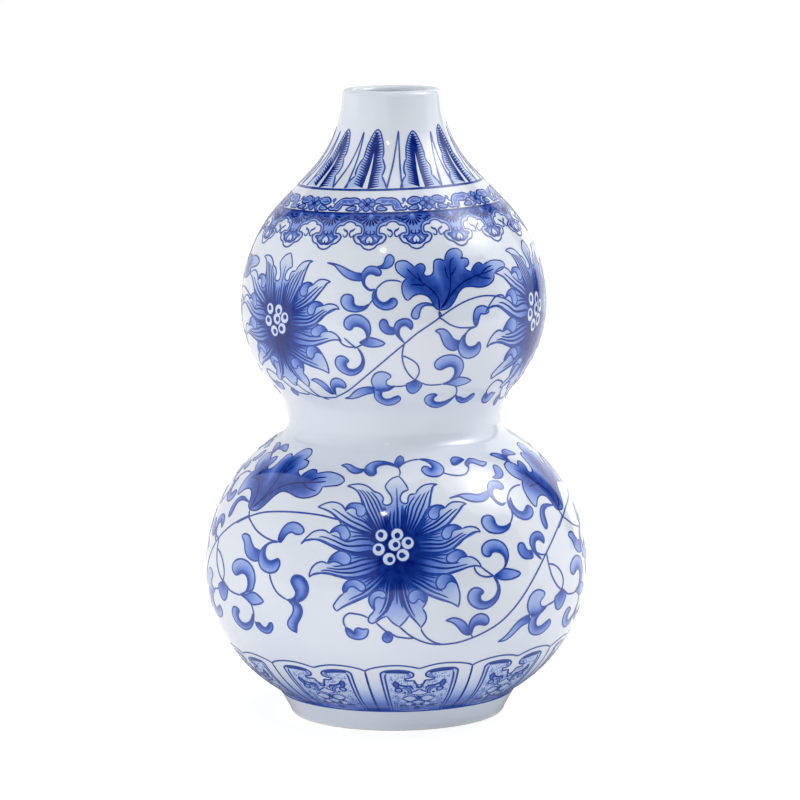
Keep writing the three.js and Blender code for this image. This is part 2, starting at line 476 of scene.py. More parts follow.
def along_line(values, count):
    """Values spread evenly along a line of so many points."""
    values = np.atleast_1d(values)
    return np.interp(np.linspace(0, 1, count), np.linspace(0, 1, len(values)), values)


def nearest(points, others):
    """How far each point is from the nearest of the others."""
    return np.linalg.norm(points[:, None] - others[None], axis=2).min(axis=1)


def inside(points, ring):
    """Which points lie inside a ring."""
    after = np.roll(ring, -1, axis=0)
    x, y = points[:, :1], points[:, 1:]
    crosses = (ring[:, 1] > y) != (after[:, 1] > y)
    rise = np.where(after[:, 1] == ring[:, 1], 1, after[:, 1] - ring[:, 1])
    meets = ring[:, 0] + (y - ring[:, 1]) * (after[:, 0] - ring[:, 0]) / rise
    return (crosses & (x < meets)).sum(axis=1) % 2 == 1


sample = "0,0 4,0 | 4,3"
print("a line of", len(runs_of(sample)), "runs is drawn with", len(outline(sample)), "points")

# %% Coats and brushes
COATS = {"ground": 0.040, "wash": 0.052, "band": 0.062, "curl": 0.073, "hatch": 0.085, "line": 0.100,
         "white": 0.115, "dot": 0.130}
SOAK = -0.05  # the depth that the ink soaks in below the skin
LIFT_STEP, LIFT_TURNS = 0.0012, 9  # patches of one coat take turns at these small steps
TAPER = 3  # widths over which a line narrows to its tip
EDGE_ROOM = 0.35  # the least room at the edge of a wash, as a share of its grain


class Artwork:
    """Flat brushwork for one band: patches of points, faces, ink and coat."""

    def __init__(self):
        self.patches = []

    def add(self, points, faces, ink, coat):
        """Keeps a patch, a little above or below the last one in its coat."""
        lift = COATS[coat] + LIFT_STEP * (len(self.patches) % LIFT_TURNS)
        self.patches.append((points, faces, np.broadcast_to(ink, len(points)), lift, coat))

    def ribbon(self, line, width, ink, coat="line", tip=0.5):
        """A brush line along a row of points, narrowed to tip at its ends; width and ink may change."""
        n, k, along = len(line), np.arange(len(line) - 1), length_along(line)
        press = np.minimum(1, tip + np.minimum(along, along[-1] - along) / (TAPER * np.max(width)))
        half = along_line(width, n) / 2 * press
        side = left_of(line) * half[:, None]
        quads = np.column_stack([n + k, n + k + 1, k + 1, k])
        tone = np.tile(along_line(ink, n), 2)
        self.add(np.vstack([line + side, line - side]), quads.tolist(), tone, coat)

    def stroke(self, path, width=0.46, ink=0.74, coat="line", tip=0.5):
        """A brush line along a path, lifted at its corners."""
        for run in runs_of(path):
            self.ribbon(smooth(run), width, ink, coat, tip)

    def wash(self, path, tone, coat="wash", grain=0.9):
        """A shape filled with ink, its tone a number or a rule over the shape."""
        ring = outline(path)
        ends = zip(ring.min(axis=0), ring.max(axis=0))
        across, up = (np.arange(low, high, grain) + grain / 2 for low, high in ends)
        grid = np.stack(np.meshgrid(across, up), axis=-1).reshape(-1, 2)
        grid = grid[inside(grid, ring)]
        grid = grid[nearest(grid, ring) > EDGE_ROOM * grain]
        rim = [(i, (i + 1) % len(ring)) for i in range(len(ring))]
        spots = [Vector(p) for p in np.vstack([ring, grid])]
        points, _, faces, *_ = delaunay_2d_cdt(spots, rim, [], 1, 1e-5)
        points = np.array([tuple(p) for p in points])
        self.add(points, faces, tone(points) if callable(tone) else tone, coat)

    def disc(self, centre, radius, ink, coat, sides=16):
        """A round dab of the brush."""
        angle = np.linspace(0, 2 * math.pi, sides, endpoint=False)
        ring = np.array(centre) + np.multiply(radius, np.column_stack([np.cos(angle), np.sin(angle)]))
        self.add(ring, [list(range(sides))], ink, coat)

    def filled(self, path, tone, width=0.46, ink=0.74, coat="curl"):
        """A shape with its outline and its wash."""
        runs = runs_of(path)
        self.wash(runs, tone, coat)
        if not np.allclose(runs[0][0], runs[-1][-1]):
            runs = [*runs[:-1], np.vstack([runs[-1], runs[0][:1]])]
        self.stroke(runs, width, ink)


print("brushes ready; coats from", min(COATS.values()), "to", max(COATS.values()), "mm")

# %% [markdown]
# ## Laying the artwork on the clay
# A flat drawing becomes part of the vase when each of its points is sent to an angle round the axis and
# a length up the wall. A Shrinkwrap modifier could press it on, but the wall is known exactly, so the
# points go straight to it. Each patch gets a lower face just inside the skin and a rim between the two,
# so it is a thin closed body, and it borrows the wall's normals to share the wall's reflections.

# %% From flat artwork to a painted band
MAP_GAP = 0.02  # free rows between two coats on the bake map


def closed_patch(faces, count):
    """Triangles and quads of a patch closed with a lower face and a rim; lower points come second."""
    edges = {(a, b) for face in faces for a, b in zip(face, face[1:] + face[:1])}
    rim = [(b, a, a + count, b + count) for a, b in edges if (b, a) not in edges]
    lower = [[k + count for k in reversed(face)] for face in faces]
    return faces + lower + [list(quad) for quad in sorted(rim)]


cove_along = length_along(cove[:, :2])
above = ALONG > COVE_TOP
BRUSHED = np.vstack([cove, OUTER[above]])
BRUSHED_ALONG = np.r_[COVE_TOP - cove_along[-1] + cove_along, ALONG[above]]


def under_brush(s):
    """r, z, nr, nz of the skin that is painted: the wall, and below it the cove above the foot."""
    return [np.interp(s, BRUSHED_ALONG, BRUSHED[:, k]) for k in range(4)]


def lay(artwork, name, place, turns):
    """Paints a band on the wall: place sends x and y to an angle and a length up the wall."""
    layers = sorted({patch[4] for patch in artwork.patches}, key=list(COATS).index)
    columns, faces, count = [], [], 0
    for spin in turns:
        for points, patch_faces, tone, lift, coat in artwork.patches:
            angle, s = place(points[:, 0], points[:, 1], spin)
            row = np.full(len(points), layers.index(coat))
            for height in (lift, SOAK):
                columns.append(np.column_stack([angle, s, tone, np.full(len(points), height), row]))
            shut = closed_patch([list(f) for f in patch_faces], len(points))
            faces.extend([k + count for k in face] for face in shut)
            count += 2 * len(points)
    angle, s, tone, height, row = np.vstack(columns).T
    r, z, nr, nz = under_brush(s)
    out = r + height * nr
    mesh = bpy.data.meshes.new(name)
    points = np.column_stack([out * np.sin(angle), -out * np.cos(angle), z + height * nz]) * MM
    mesh.from_pydata(points.tolist(), [], faces)
    mesh.attributes.new("ink", "FLOAT", "POINT").data.foreach_set("value", tone.astype(np.float32))
    u = (angle - angle.min()) / np.ptp(angle)
    v = (row + (s - s.min()) / np.ptp(s) * (1 - 2 * MAP_GAP) + MAP_GAP) / len(layers)
    corner = np.zeros(len(mesh.loops), np.int32)
    mesh.loops.foreach_get("vertex_index", corner)
    mesh.uv_layers.new(name="OFBake").data.foreach_set("uv", np.column_stack([u, v])[corner].ravel())
    mesh.polygons.foreach_set("use_smooth", [True] * len(mesh.polygons))
    normals = np.column_stack([nr * np.sin(angle), -nr * np.cos(angle), nz])
    mesh.normals_split_custom_set_from_vertices(normals.tolist())
    mesh.materials.append(cobalt)
    print("painted", name, len(artwork.patches), "patches x", len(turns), "->", len(mesh.polygons), "faces")
    return ride_glazed(bpy.data.objects.new(name, mesh), "glazed_porcelain")


print("the painted skin is", round(float(np.ptp(BRUSHED_ALONG)), 1), "mm long, with the cove over the foot")

# %% [markdown]
# ## The lotus
# Three large lotus flowers go round each bulb. On the real vase their petals are outlined with a fine
# brush, hatched from the heart outwards and washed so that the heart is almost black and the tips almost
# white. Each petal could be a shape of its own, but then the edges that petals share would be drawn twice,
# so the outline is one long line with a corner at each tip and fold. Units are millimetres at a radius of
# 60, with x from the flower's middle and y up the wall.

# %% Petal outlines, turned-over petal edges and seeds
LOTUS_EDGE = """1.3,90.7 2.8,89.2 4.2,87 4.9,85.4 | 3.6,85 2.4,84.2 1.7,82.8 1.8,81.5 2.6,80.7 3.6,80.5
 4.3,80.9 4.6,82.6 5.6,83.7 7.4,83.8 | 8.6,85.4 11,86.9 14,87.3 16.4,87 | 14.6,86.4 13.5,84.8 12.9,82.4
 12.2,80.2 11.6,78.9 | 13,79.3 14.8,79.6 16.4,79.2 17.6,78.5 | 19,79.6 21,80.3 23.5,80.1 25.8,79.3 |
 24,78.8 22.5,77.4 20.5,75.4 18.4,73.6 17,72.5 | 18.4,72.7 20,72.6 21.2,72 22.3,71.2 | 24,71.6 26,71.5
 27.6,70.8 28.5,69.6 | 26.6,69.8 24.5,69.2 22.5,68 20.5,66.4 18,64.9 | 19.4,64.6 20.8,64.2 21.9,63.3
 22.7,62.1 | 24,61.9 25.6,60.9 26.6,59.6 27.1,58.4 | 25.6,59 23.5,59 20.5,58.3 17.4,57.5 16,57 |
 17.4,56.2 18.6,54 19.4,51 19.4,48.5 19,46.3 | 17.8,47.3 15.5,48.5 13,49.3 10.5,50.6 9.2,51.2 | 9.3,50
 8.8,48.2 7.8,46.6 | 8.7,45 9,43.5 8.6,42 7.4,40.2 | 6.4,41.6 5,43.2 3.8,44.4 | 2.4,42.4 0.7,40.6 |
 -1.4,42.2 -3,44.2 | -4.6,43.6 -6.4,42.3 -7.8,41.8 -8.7,42.6 -8.4,44 -7.4,45.2 -6.8,46.2 | -7.5,47
 -8.3,48.5 -8.4,50 -7.6,51.4 | -9.5,50.3 -12.5,48.8 -15.5,47.4 -17.5,46.2 -18.6,45.4 | -19.5,47
 -18.7,48.5 -17.4,50.2 -16.2,51.3 | -16.5,53 -15.7,54.6 -14.2,55.6 | -16.5,56.2 -20,57 -23.5,57.3
 -26,56.9 -27.6,55.7 | -27.5,57 -26.8,58.8 -25.3,60.3 -23.5,60.9 -21.7,60.4 | -21,62.2 -19.8,63.6
 -17.8,64.7 | -20,65.5 -22.5,66.6 -25.5,67.6 -28,67.8 -30.2,67.2 -31.7,65.9 | -31,66.9 -29.6,68.6
 -27.8,70.2 -25.6,70.9 -23.6,70.8 -22.1,70 | -21.4,71.2 -20.2,72.3 -18.4,73.1 | -19.5,74.6 -21.3,76
 -23.5,77.2 -26,78 -28.3,78.5 | -26,79.8 -23.5,80.5 -21,80.3 -19,79.4 -17.9,78.1 | -17.4,79.2 -16.2,80.3
 -14.2,80.6 -12.1,80.3 | -12.6,82 -13.4,83.6 -14.8,85 -16.5,86 -18.9,86.6 | -17,87.2 -14,87.5 -11.5,87
 -9.5,85.9 -8,84.8 -6.3,84.3 -5.1,83.4 -4.5,82.3 -4.7,80.8 -4,80.1 -2.8,80 -1.8,80.5 -1.3,81.5 -1.8,83.4
 -3,85 -3.9,86.6 -3.2,88.2 -1.2,89.9 1.3,90.7"""
TURNED_EDGES = """
 17.7,78.5 16.5,79.3 14.8,79.5 13,79 11.8,78 11.2,76.8 11.4,75.6 12.4,74.8 13.8,74.9 14.8,75.8 15,77
 15.6,78 17,78.4;
 22.3,71.2 21,72.2 19.5,72.6 18,72.5 16.5,72 15.3,70.8 14.9,69.4 15.5,68.4 16.6,68.1 17.8,68.7 18.3,69.7
 18.8,70.6 20.2,71;
 22.7,62.1 21.8,63.5 20.8,64.2 19.6,64.5 17.8,64 16.2,63 15.7,61.8 16.2,60.9 17.6,60.5 19,60.8 19.8,61.6
 20.8,62.1;
 18.6,53.8 17.6,55.6 16.3,56.9 14.4,57.2 13,56.6 12.2,55.2 12.1,53.8 12.8,52.7 13.8,52.4 14.8,52.9 15.4,54
 16.4,54.7 17.6,54.6;
 9.2,49.8 8.6,51.2 7.2,52.3 5.6,52.6 4.2,51.8 3.6,50.8 3.7,49.3 4.6,48.4 5.6,48.5 6.3,49.4 7.2,49.6
 8.2,48.6;
 -6.6,46 -7.3,46.8 -8.2,48.3 -8.4,49.8 -7.8,51.2 -6.6,52.2 -5,52.5 -3.8,52.1 -3.2,51.3 -3.4,50.4 -4.3,50
 -5.6,50.4 -6.6,49.6 -6.8,48;
 -16.3,51.4 -16.4,53 -15.7,54.6 -14.2,55.6 -12.3,55.8 -10.5,55 -9.4,53.6 -9.8,52.6 -10.8,52.2 -12,52.9
 -13.2,53.6 -14.6,53.2 -15.3,52;
 -21.8,60.4 -21,62.2 -19.8,63.6 -17.8,64.6 -15.8,64.2 -14.4,63 -14.3,61.5 -15.2,60.5 -16.6,60.3 -18,60.9
 -19.5,61.2 -21,60.7;
 -22.2,69.9 -21.5,71 -20.2,72.3 -18.4,73 -16.8,72.6 -15.5,71.2 -15,69.6 -15.7,68.4 -17,68.1 -18,68.9
 -18.6,70.2 -20,70.9 -21.6,70.3;
 -17.8,77.6 -17.6,79 -16.4,80.3 -14.2,80.6 -12,80.2 -10.6,78.9 -10.4,77.3 -11.2,76.2 -12.6,76 -13.6,76.9
 -13.9,78.2 -15.2,78.9 -16.8,78.5""".split(";")
TOP_LINE = "0.4,73 0.5,78 0.5,82 0.4,86.2"
SEEDS = [(-0.5, 66.9), (-4.7, 69.9), (0.4, 70.2), (3.7, 67.4), (2.1, 63.6), (-2.2, 62.4), (-5.5, 65.4)]
print("the lotus edge has", len(runs_of(LOTUS_EDGE)), "runs and", len(TURNED_EDGES), "turned edges")

# %% Sides of the petals, and the ink between them
PETAL_SIDES = [petal.split("/") for petal in """
 3,73.5 3.6,77 4.4,80.5 7.5,83.8 12,86.6 / 6.6,71.5 9,74.5 11.4,78.4 13,83 15,86.6;
 7,71 9.5,73.3 12.5,75 16,77.5 20.5,79.3 24.5,79.4 / 7.2,69.2 10,69.8 14,71 17.5,73 20.5,75.6 24.8,79;
 7.5,68.5 11,68.6 15,68.2 19,69.8 23.5,71 27.5,70 / 7.5,64.2 11,63.7 15,64 18.5,65.3 22,67.8 27.5,69.7;
 7.2,63 11,62.4 15,61 19,60.6 23,60.8 26.5,59 / 6,58.5 10,57.2 14.5,57 19,57.9 23,58.9 26,58.9;
 5,57 8,55.5 11.5,53.2 14.5,51.8 16.5,50.4 18.4,48 / 3.4,55 6,53.2 9.5,51 13,49.4 16,48.2 18.4,47;
 3.2,54.5 3.8,52.5 4.2,50.5 5,47.5 6.4,44 7.2,41.5 / 1.2,54 1.6,51 2.4,48 3.8,45 5.4,43 6.8,41.4;
 -0.9,54 -1,51 -1.4,48.6 -1.6,46.4 / 1,54 1.1,51 1.6,48.6 2,46.4;
 -3.8,55 -4.2,52.8 -4.4,50 -5.4,46.8 -7.2,43.4 / -1.6,54 -1.8,50.5 -2.6,47.5 -4,45 -6.8,42.6;
 -6,57 -8.8,54.6 -11,52.5 -14,50.8 -17,48.6 / -4.4,55 -6.5,52.8 -9.5,50.6 -13,48.9 -17.4,46.8;
 -7.5,63 -11,62.5 -14.8,61 -18.5,60 -22.5,59.8 -26.5,57.4 / -6,58.5 -9.5,56.8 -13.5,56.1 -18,56.7
 -22.5,57.5 -26.8,56.3;
 -8.5,69 -12,69 -16,68 -20,69.5 -24,69.9 -29,67.6 / -8.5,64.5 -12.5,63.9 -17,64.9 -21.5,66.5 -26,67.9
 -30.3,66.9;
 -7.5,72 -10.5,74.5 -14.2,76 -18,78 -22,79.4 -26.5,79 / -8.4,70.5 -12,71.3 -16,72.9 -19.5,74.8 -23,77.1
 -27,78.4;
 -3.2,73.5 -3.8,77 -5,80 -7,83.2 -11,86 -16,86.9 / -6.6,72 -8.8,75 -11,78.6 -12.4,82 -14.6,84.9 -17.4,86.2;
 -2.6,74 -2.4,76 -2.2,78 -2,80 / 2.4,74 2.4,76 2.5,78 2.6,80.2""".split(";")]
SIDE_POINTS, COARSE = 41, 0.8
PETALS = [[np.column_stack([along_line(axis, SIDE_POINTS) for axis in smooth(runs_of(side)[0], COARSE).T])
           for side in petal] for petal in PETAL_SIDES]
HEART, HEART_WIDE, HEART_HIGH = (0.8, 63.4), 9.0, 10.6
PETAL_WIDE, PETAL_HIGH = 19.0, 18.6
TIP_INK, PETAL_INK, HEART_INK = 0.03, 0.51, 0.44


def heart_tone(p):
    """Ink of the petals: a dark heart, a wash that thins towards the tips."""
    x, y = p[:, 0] - HEART[0], p[:, 1] - HEART[1]
    heart = np.exp(-np.hypot(x / HEART_WIDE, y / HEART_HIGH) ** 4)
    petal = np.exp(-np.hypot(x / PETAL_WIDE, y / PETAL_HIGH) ** 3)
    return TIP_INK + PETAL_INK * petal + HEART_INK * heart


print("a lotus has", len(PETALS), "petals and", len(SEEDS), "seeds")

# %% Hatching from the heart outwards
HATCH_SPACING, HATCH_MARGIN, FEWEST, MOST = 1.1, 0.6, 3, 5
PETAL_ENDS, VALLEY_SHARES = (0.08, 0.92), (0.3, 0.7)
MIDWAY, NEAR_HEART = 20, 12  # points along a petal's side
FIRST_LENGTH, FEWEST_POINTS = 0.72, 14
HATCH_WIDTHS, HATCH_INKS = (0.54, 0.68, 0.66, 0.40), (0.97, 0.90, 0.84, 0.74)
HEART_GAP = np.linspace(0.72, 0.06, 12)[:, None]  # the way from near the heart to a petal's foot
LOTUS_RIM, CURL_RIMS = outline(LOTUS_EDGE), [outline(curl) for curl in TURNED_EDGES]


def hatch(art, one, other, shares, shortest):
    """Lines between the sides of a petal or of a valley, lifted before an edge or a curl."""
    for share in shares:
        line = one + share * (other - one)
        line = np.vstack([line[0] + HEART_GAP * (HEART - line[0]), line])
        free = inside(line, LOTUS_RIM) & (nearest(line, LOTUS_RIM) > HATCH_MARGIN)
        for curl in CURL_RIMS:
            free &= ~inside(line, curl)
        end = len(line) if free.all() else int(np.argmin(free))
        end = min(end, int(len(line) * (shortest + (1 - shortest) * share)))
        if end > FEWEST_POINTS:
            art.ribbon(line[:end], HATCH_WIDTHS, HATCH_INKS, "hatch")


def valley_width(valley):
    """How far apart the two sides of a valley are near the heart."""
    return math.dist(valley[0][NEAR_HEART], valley[1][NEAR_HEART])


def hatch_lotus(art):
    """Hatching along each petal, and in the valley between it and the next."""
    for petal, after in zip(PETALS, PETALS[1:] + PETALS[:1]):
        width = math.dist(petal[0][MIDWAY], petal[1][MIDWAY])
        count = int(np.clip(round(width / HATCH_SPACING), FEWEST, MOST))
        hatch(art, *petal, np.linspace(*PETAL_ENDS, count), FIRST_LENGTH)
        valley = min(((one, other) for one in petal for other in after), key=valley_width)
        hatch(art, *valley, VALLEY_SHARES, 1)


print("hatching stops", HATCH_MARGIN, "mm before the", round(length_along(LOTUS_RIM)[-1]), "mm of edge")

# %% The lotus, coat by coat
LOTUS_LINE, LOTUS_INK = 0.54, 0.71
SHADE_WIDTHS, SHADE_INKS = (0.5, 0.8, 0.9, 0.3), (0.9, 0.70, 0.60, 0.5)
TOP_WIDTHS, TOP_INKS = (0.5, 0.5, 0.34), (0.95, 0.84, 0.76)
CURL_LINE, CURL_INK = 0.52, 0.72
CURL_POOL = 2.8, 0.80, 0.20  # reach, strong ink, weak ink
SEED_RADIUS, SEED_EDGE, PIP_RADIUS, PIP_OFF, PIP_TURN = 2.2, 0.3, 0.92, 0.35, 2.4


def pooled(deep, reach, strong, weak, fall=1):
    """Ink that pools at some places and thins away from them; a larger fall ends the pool sooner."""
    def tone(points):
        return weak + (strong - weak) * np.exp(-(nearest(points, np.atleast_2d(deep)) / reach) ** fall)
    return tone


def paint_lotus(art):
    """One lotus: wash, outline, shaded sides, hatching, turned-over edges and seeds."""
    art.wash(LOTUS_EDGE, heart_tone)
    art.stroke(LOTUS_EDGE, LOTUS_LINE, LOTUS_INK)
    for petal in PETAL_SIDES:
        art.ribbon(smooth(runs_of(petal[1])[0], COARSE), SHADE_WIDTHS, SHADE_INKS, "band", tip=0.4)
    hatch_lotus(art)
    art.stroke(TOP_LINE, TOP_WIDTHS, TOP_INKS, "hatch")
    for curl in TURNED_EDGES:
        tail = runs_of(curl)[0][:2]
        art.filled(curl, pooled(tail, *CURL_POOL), CURL_LINE, CURL_INK)
    for number, (x, y) in enumerate(SEEDS):
        angle = PIP_TURN * number
        pip = x + PIP_OFF * math.cos(angle), y + PIP_OFF * math.sin(angle)
        art.disc((x, y), SEED_RADIUS, ink=0.70, coat="line")
        art.disc((x, y), SEED_RADIUS - SEED_EDGE, ink=0.05, coat="white")
        art.disc(pip, PIP_RADIUS, ink=0.84, coat="dot")


print("petal outlines are", LOTUS_LINE, "mm wide, hatching up to", max(HATCH_WIDTHS))

# %% [markdown]
# ## Scrolling stems and leaves
# A stem leaves each lotus, runs under it and rises to a great dark leaf, throwing off hooks, commas and
# blades on the way. They could be made from one repeated curl, but no two on the vase are the same, so
# each is drawn by itself. A hook's ink pools along its inner line, a leaf's at its base. The two bulbs
# share the drawings; the two shifts say how far each is moved on the lower and on the upper bulb.

# %% Scrolls on both bulbs: kind, lower shift, upper shift, line


def scrolls(text):
    """Scrolls written as 'kind: line' and parted by semicolons."""
    return [(head.strip(), path) for head, path in (item.split(":") for item in text.split(";"))]


# A shift is dx,dy or dx,dy,grow. An L is one repeat further left, and none leaves the scroll out.
SCROLLS = scrolls("""
blade 0,0 -2.4,0.2,1.12: 15,42.2 17.5,42.9 19.8,42.2 21.6,40.8 22.6,39 23.6,36.6 | 22,36.8 20.4,38 19,39.8
 17.2,41.4 15,42.2;
hook 0,0 -0.9,0.4,1.15: 23.8,36.6 23.2,38 22.8,40 23.4,41.8 24.8,43.1 26.6,43.5 28.4,42.8 29.4,41.4
 29.2,40 28.2,39.3 | 27,39.8 25.4,39.9 24.4,39.2 24,37.8 23.8,36.6;
line 0,0 -1.7,0.2: 23.7,36.7 24.5,35.5;
hook 0,0 5.1,1.6,1.12: 31,55.1 32.2,53.6 33,51.6 33,49.6 32,47.4 30,45.7 27.5,45 25,45.5 23,47 22.1,49
 22.6,51 24,52 25.8,51.9 27.2,50.8 27.4,50.2 | 26.4,49.6 26.2,48.6 26.8,47.6 28.4,47.2 30.4,47.9 31.8,49.3
 32.4,51.2 32,53.2 31,55.1;
hook 0,0 4.1,2.5,1.1: 31.2,55.2 33,56 34.6,56.9 36.2,58.6 37.2,60.8 37.2,63 36.2,64.9 34.3,66.2 32,66.6
 29.8,66.1 28.2,64.8 27.9,63 28.8,61.8 30.2,61.5 31,61.9 | 31.4,62.6 32.8,62.8 34.4,62.2 35.5,61 35.9,59.2
 35.4,57.8 34.4,56.8;
leaf 0,0 6,4.3: 31.3,55.1 33,56 35,57 37.5,56.6 40,55.7 41.4,54.8 | 40,54 37.5,53.5 34.8,53.6 32.8,54.2;
line 0,0 4.4,2.4: 24.6,58.9 25,57.4 26.3,56 28.5,55.2 31.2,55.2;
line 0,0 4.4,2.4: 26.9,58.6 28.2,57.4 30,56 31.2,55.2;
hook 0,0 0.4,2.2: 41.2,71.4 39.5,69.6 37,68.6 34.5,68.5 31.8,69.2 30.2,70.8 29.7,72.6 30.6,74.2 32.4,74.7
 34.2,74.2 35,72.8 | 34.9,71.8 35.6,70.8 37.4,70.4 39.4,70.6 41.2,71.4;
line 0,0 0.4,2.2: 41,71.3 42.7,73.4 43.3,75.4;
line none 0,0: 54,81.4 52,82 49,82.1 46.6,81.3 44.6,79.6 44,79;
hook 0.8,0.1,1.05 0,0: 44,79 42.8,77.5 42.6,75.5 43.4,73.6 45.2,72.2 47.5,71.5 50,71.9 51.8,73.2 52,74.6
 51,75.6 49.6,75.6 | 48.6,74.6 47,74 45.4,74.6 44.3,76 44,77.6 44.3,79.2;
hook -1.6,-0.9 0,0: 43.5,79 42,78.4 40.4,78.9 38.9,80.5 38.1,82.5 38.2,84.5 39.2,86.2 41,87.2 43.2,87.2
 45,86.5 45.9,85.2 45.4,84 44,83.7 | 42.6,84.4 41,84.4 39.8,83.4 39.3,82 39.6,80.4 40.8,79.2 42,78.7;
leaf none 0,0: 38,84.7 35.5,84.8 32.5,85.8 29.5,87 26,87.9 22.6,88.2 | 26,87.3 28,85.8 30.5,83.8 33.5,82.4
 36,82 38,82.2;
leaf -2.7,0.4 0,0: 44,87.2 46,87.6 47,88.8 47.6,90.6 49,91.7 50.6,91 51.1,89.4 50.2,87.6 48.2,86.6 46,86.6;
leaf -3.8,-3.6 0,0: 51,65 49.6,65.1 48.7,65.9 48.2,67.3 47,68 45.8,67.5 45.3,66 45.9,64.2 47.3,63 49,62.6
 51,62.8;
hook -3.8,-1.3 0,0: 54.8,59.2 53.2,60.6 51.8,62.2 51,64 51,65.6 52,67.2 54,68.1 56.2,68 57.6,66.9
 57.9,65.2 57.3,64 | 56.4,65 55,65.7 53.5,65.3 52.8,64 52.8,62.4 53.6,60.8 54.8,59.2;
hook 0,0 -2.7,-1,1.08: 45.5,40.8 44.4,42.6 44.1,44.6 45,46.8 46.8,48.2 49,48.4 51,47.6 51.8,46.6 51.4,45.8
 | 50.2,45 49.8,43.8 50.4,42.8 52,42.3 53.5,42.5 | 52.4,41.6 50.5,40.4 48,40 46.6,40.2;
hook 0,0 -4,-1,1.08: 46.4,39.8 45.8,38 46,36 47.2,34.2 49.4,33 52,32.6 54.6,33.2 56.6,34.6 57.1,36
 56.2,37.2 54.8,37 | 53,36 51,35.6 49.4,36.4 48.9,38 49.6,39.6 50.6,40.6;
line 0,0 none: 53,42.5 56,43 58,43.8;
leaf 1.5,2.4 0,0: 59.3,44 57.6,43 55.8,42.2 | 56,40.6 56.8,38.8 58.3,37.6 60,37.7 61.6,39 62.6,40.8
 62.9,42.3 | 61.4,43 59.7,44.2;
line none 0,0: 54.8,59 54.2,57 53.9,54.5 54.2,52 55,49.5 56.6,46.8 58.2,45 59.5,44.1;
line none 0,0: 53.9,54.4 56.2,53.4 58.6,52 60.3,50.2 61,48 60.7,46 59.7,44.3;
line none 0,0: 62.8,42.4 65,41.5 68,41.2 72,41.4;
hook L-2.6,4.8,0.93 0,0: 72,41.4 76,43 78.8,44 79.8,46 80.2,48 79.6,50.4 78,52.3 75.6,53.5 72.6,53.9
 69.8,53.3 67.8,51.9 67.2,50.2 68,48.8 69.6,48 71,48.1 | 72.4,48.9 74.2,49.2 75.8,48.5 76.6,47 76.6,45
 75.6,43.2 73.8,41.9 72,41.4;
leaf none 0,0: 72,41.4 75,42 78.5,44 81,43.9 83.6,43.3 86.3,42 | 84.4,40.9 82,40.3 79.5,39.9 77,40.6
 74.5,41.2;
line none 0,0: 78.5,40.2 80,38.6 80.8,36.8 80.7,35.4;
hook L0,0 none: 75.4,40 74.7,38.2 72.7,36 70.1,34.8 67.7,34.8 65.1,36 63.5,38 63.5,40 64.7,41.6 66.3,42
 67.9,41.4 68.3,40.8 | 67.3,40 66.9,38.8 67.7,37.4 69.7,36.9 72.1,37.6 73.9,39 75.2,41;
hook L0,0 none: 75.7,38.6 76.1,37 77.7,35.6 79.7,35.1 81.7,35.6 83.1,37 83.5,38.6 82.9,39.2 81.9,38.8 |
 81.1,37.6 79.7,37 78.5,37.6 77.7,38.4 76.3,38.2;
blade none 0,0: 66.6,63.4 68.6,64 70.8,63.6 72.6,62 74,60.2 75.4,59.4 76.6,59.3 | 76.2,55.8 | 74.4,55.6
 72.4,56.2 70.6,57.8 69.4,60 68.4,62.2;
hook none 0,0: 83.8,63.9 81.4,63.3 79.4,61.8 77.6,60 76.6,57.8 76.8,55.4 78.4,53.2 80.8,52.1 83.6,52.2
 86,53.6 86.8,55.6 86.2,57.6 85.4,58.2 | 84.4,57 82.4,56.4 80.4,57 79.2,58.8 79.2,60.8 80.2,62.6 82,63.6;
line none 0,0: 83.6,63.9 80,63.8 76,64.2 72.5,65.5 70,67.2 68.6,68.2 68.1,70.4;
leaf none 0,0: 83.8,63.9 83,65 82.6,67 83,69.4 84.4,71 86.8,71.4 88.8,70.8 90,69.7 | 89.6,68.8 87.8,68.3
 86,68.5 85.2,67 84.6,65;
leaf none 0,0: 66.5,72.4 64.8,73.4 62.4,73.7 60,73 58.2,71.4 57.5,69.6 58,68.4 59.2,68 60.3,68.6 60.6,70
 61.2,71.6 62.6,72.7 64.6,72.8""")
print(len(SCROLLS), "scrolls are shared by the two bulbs")

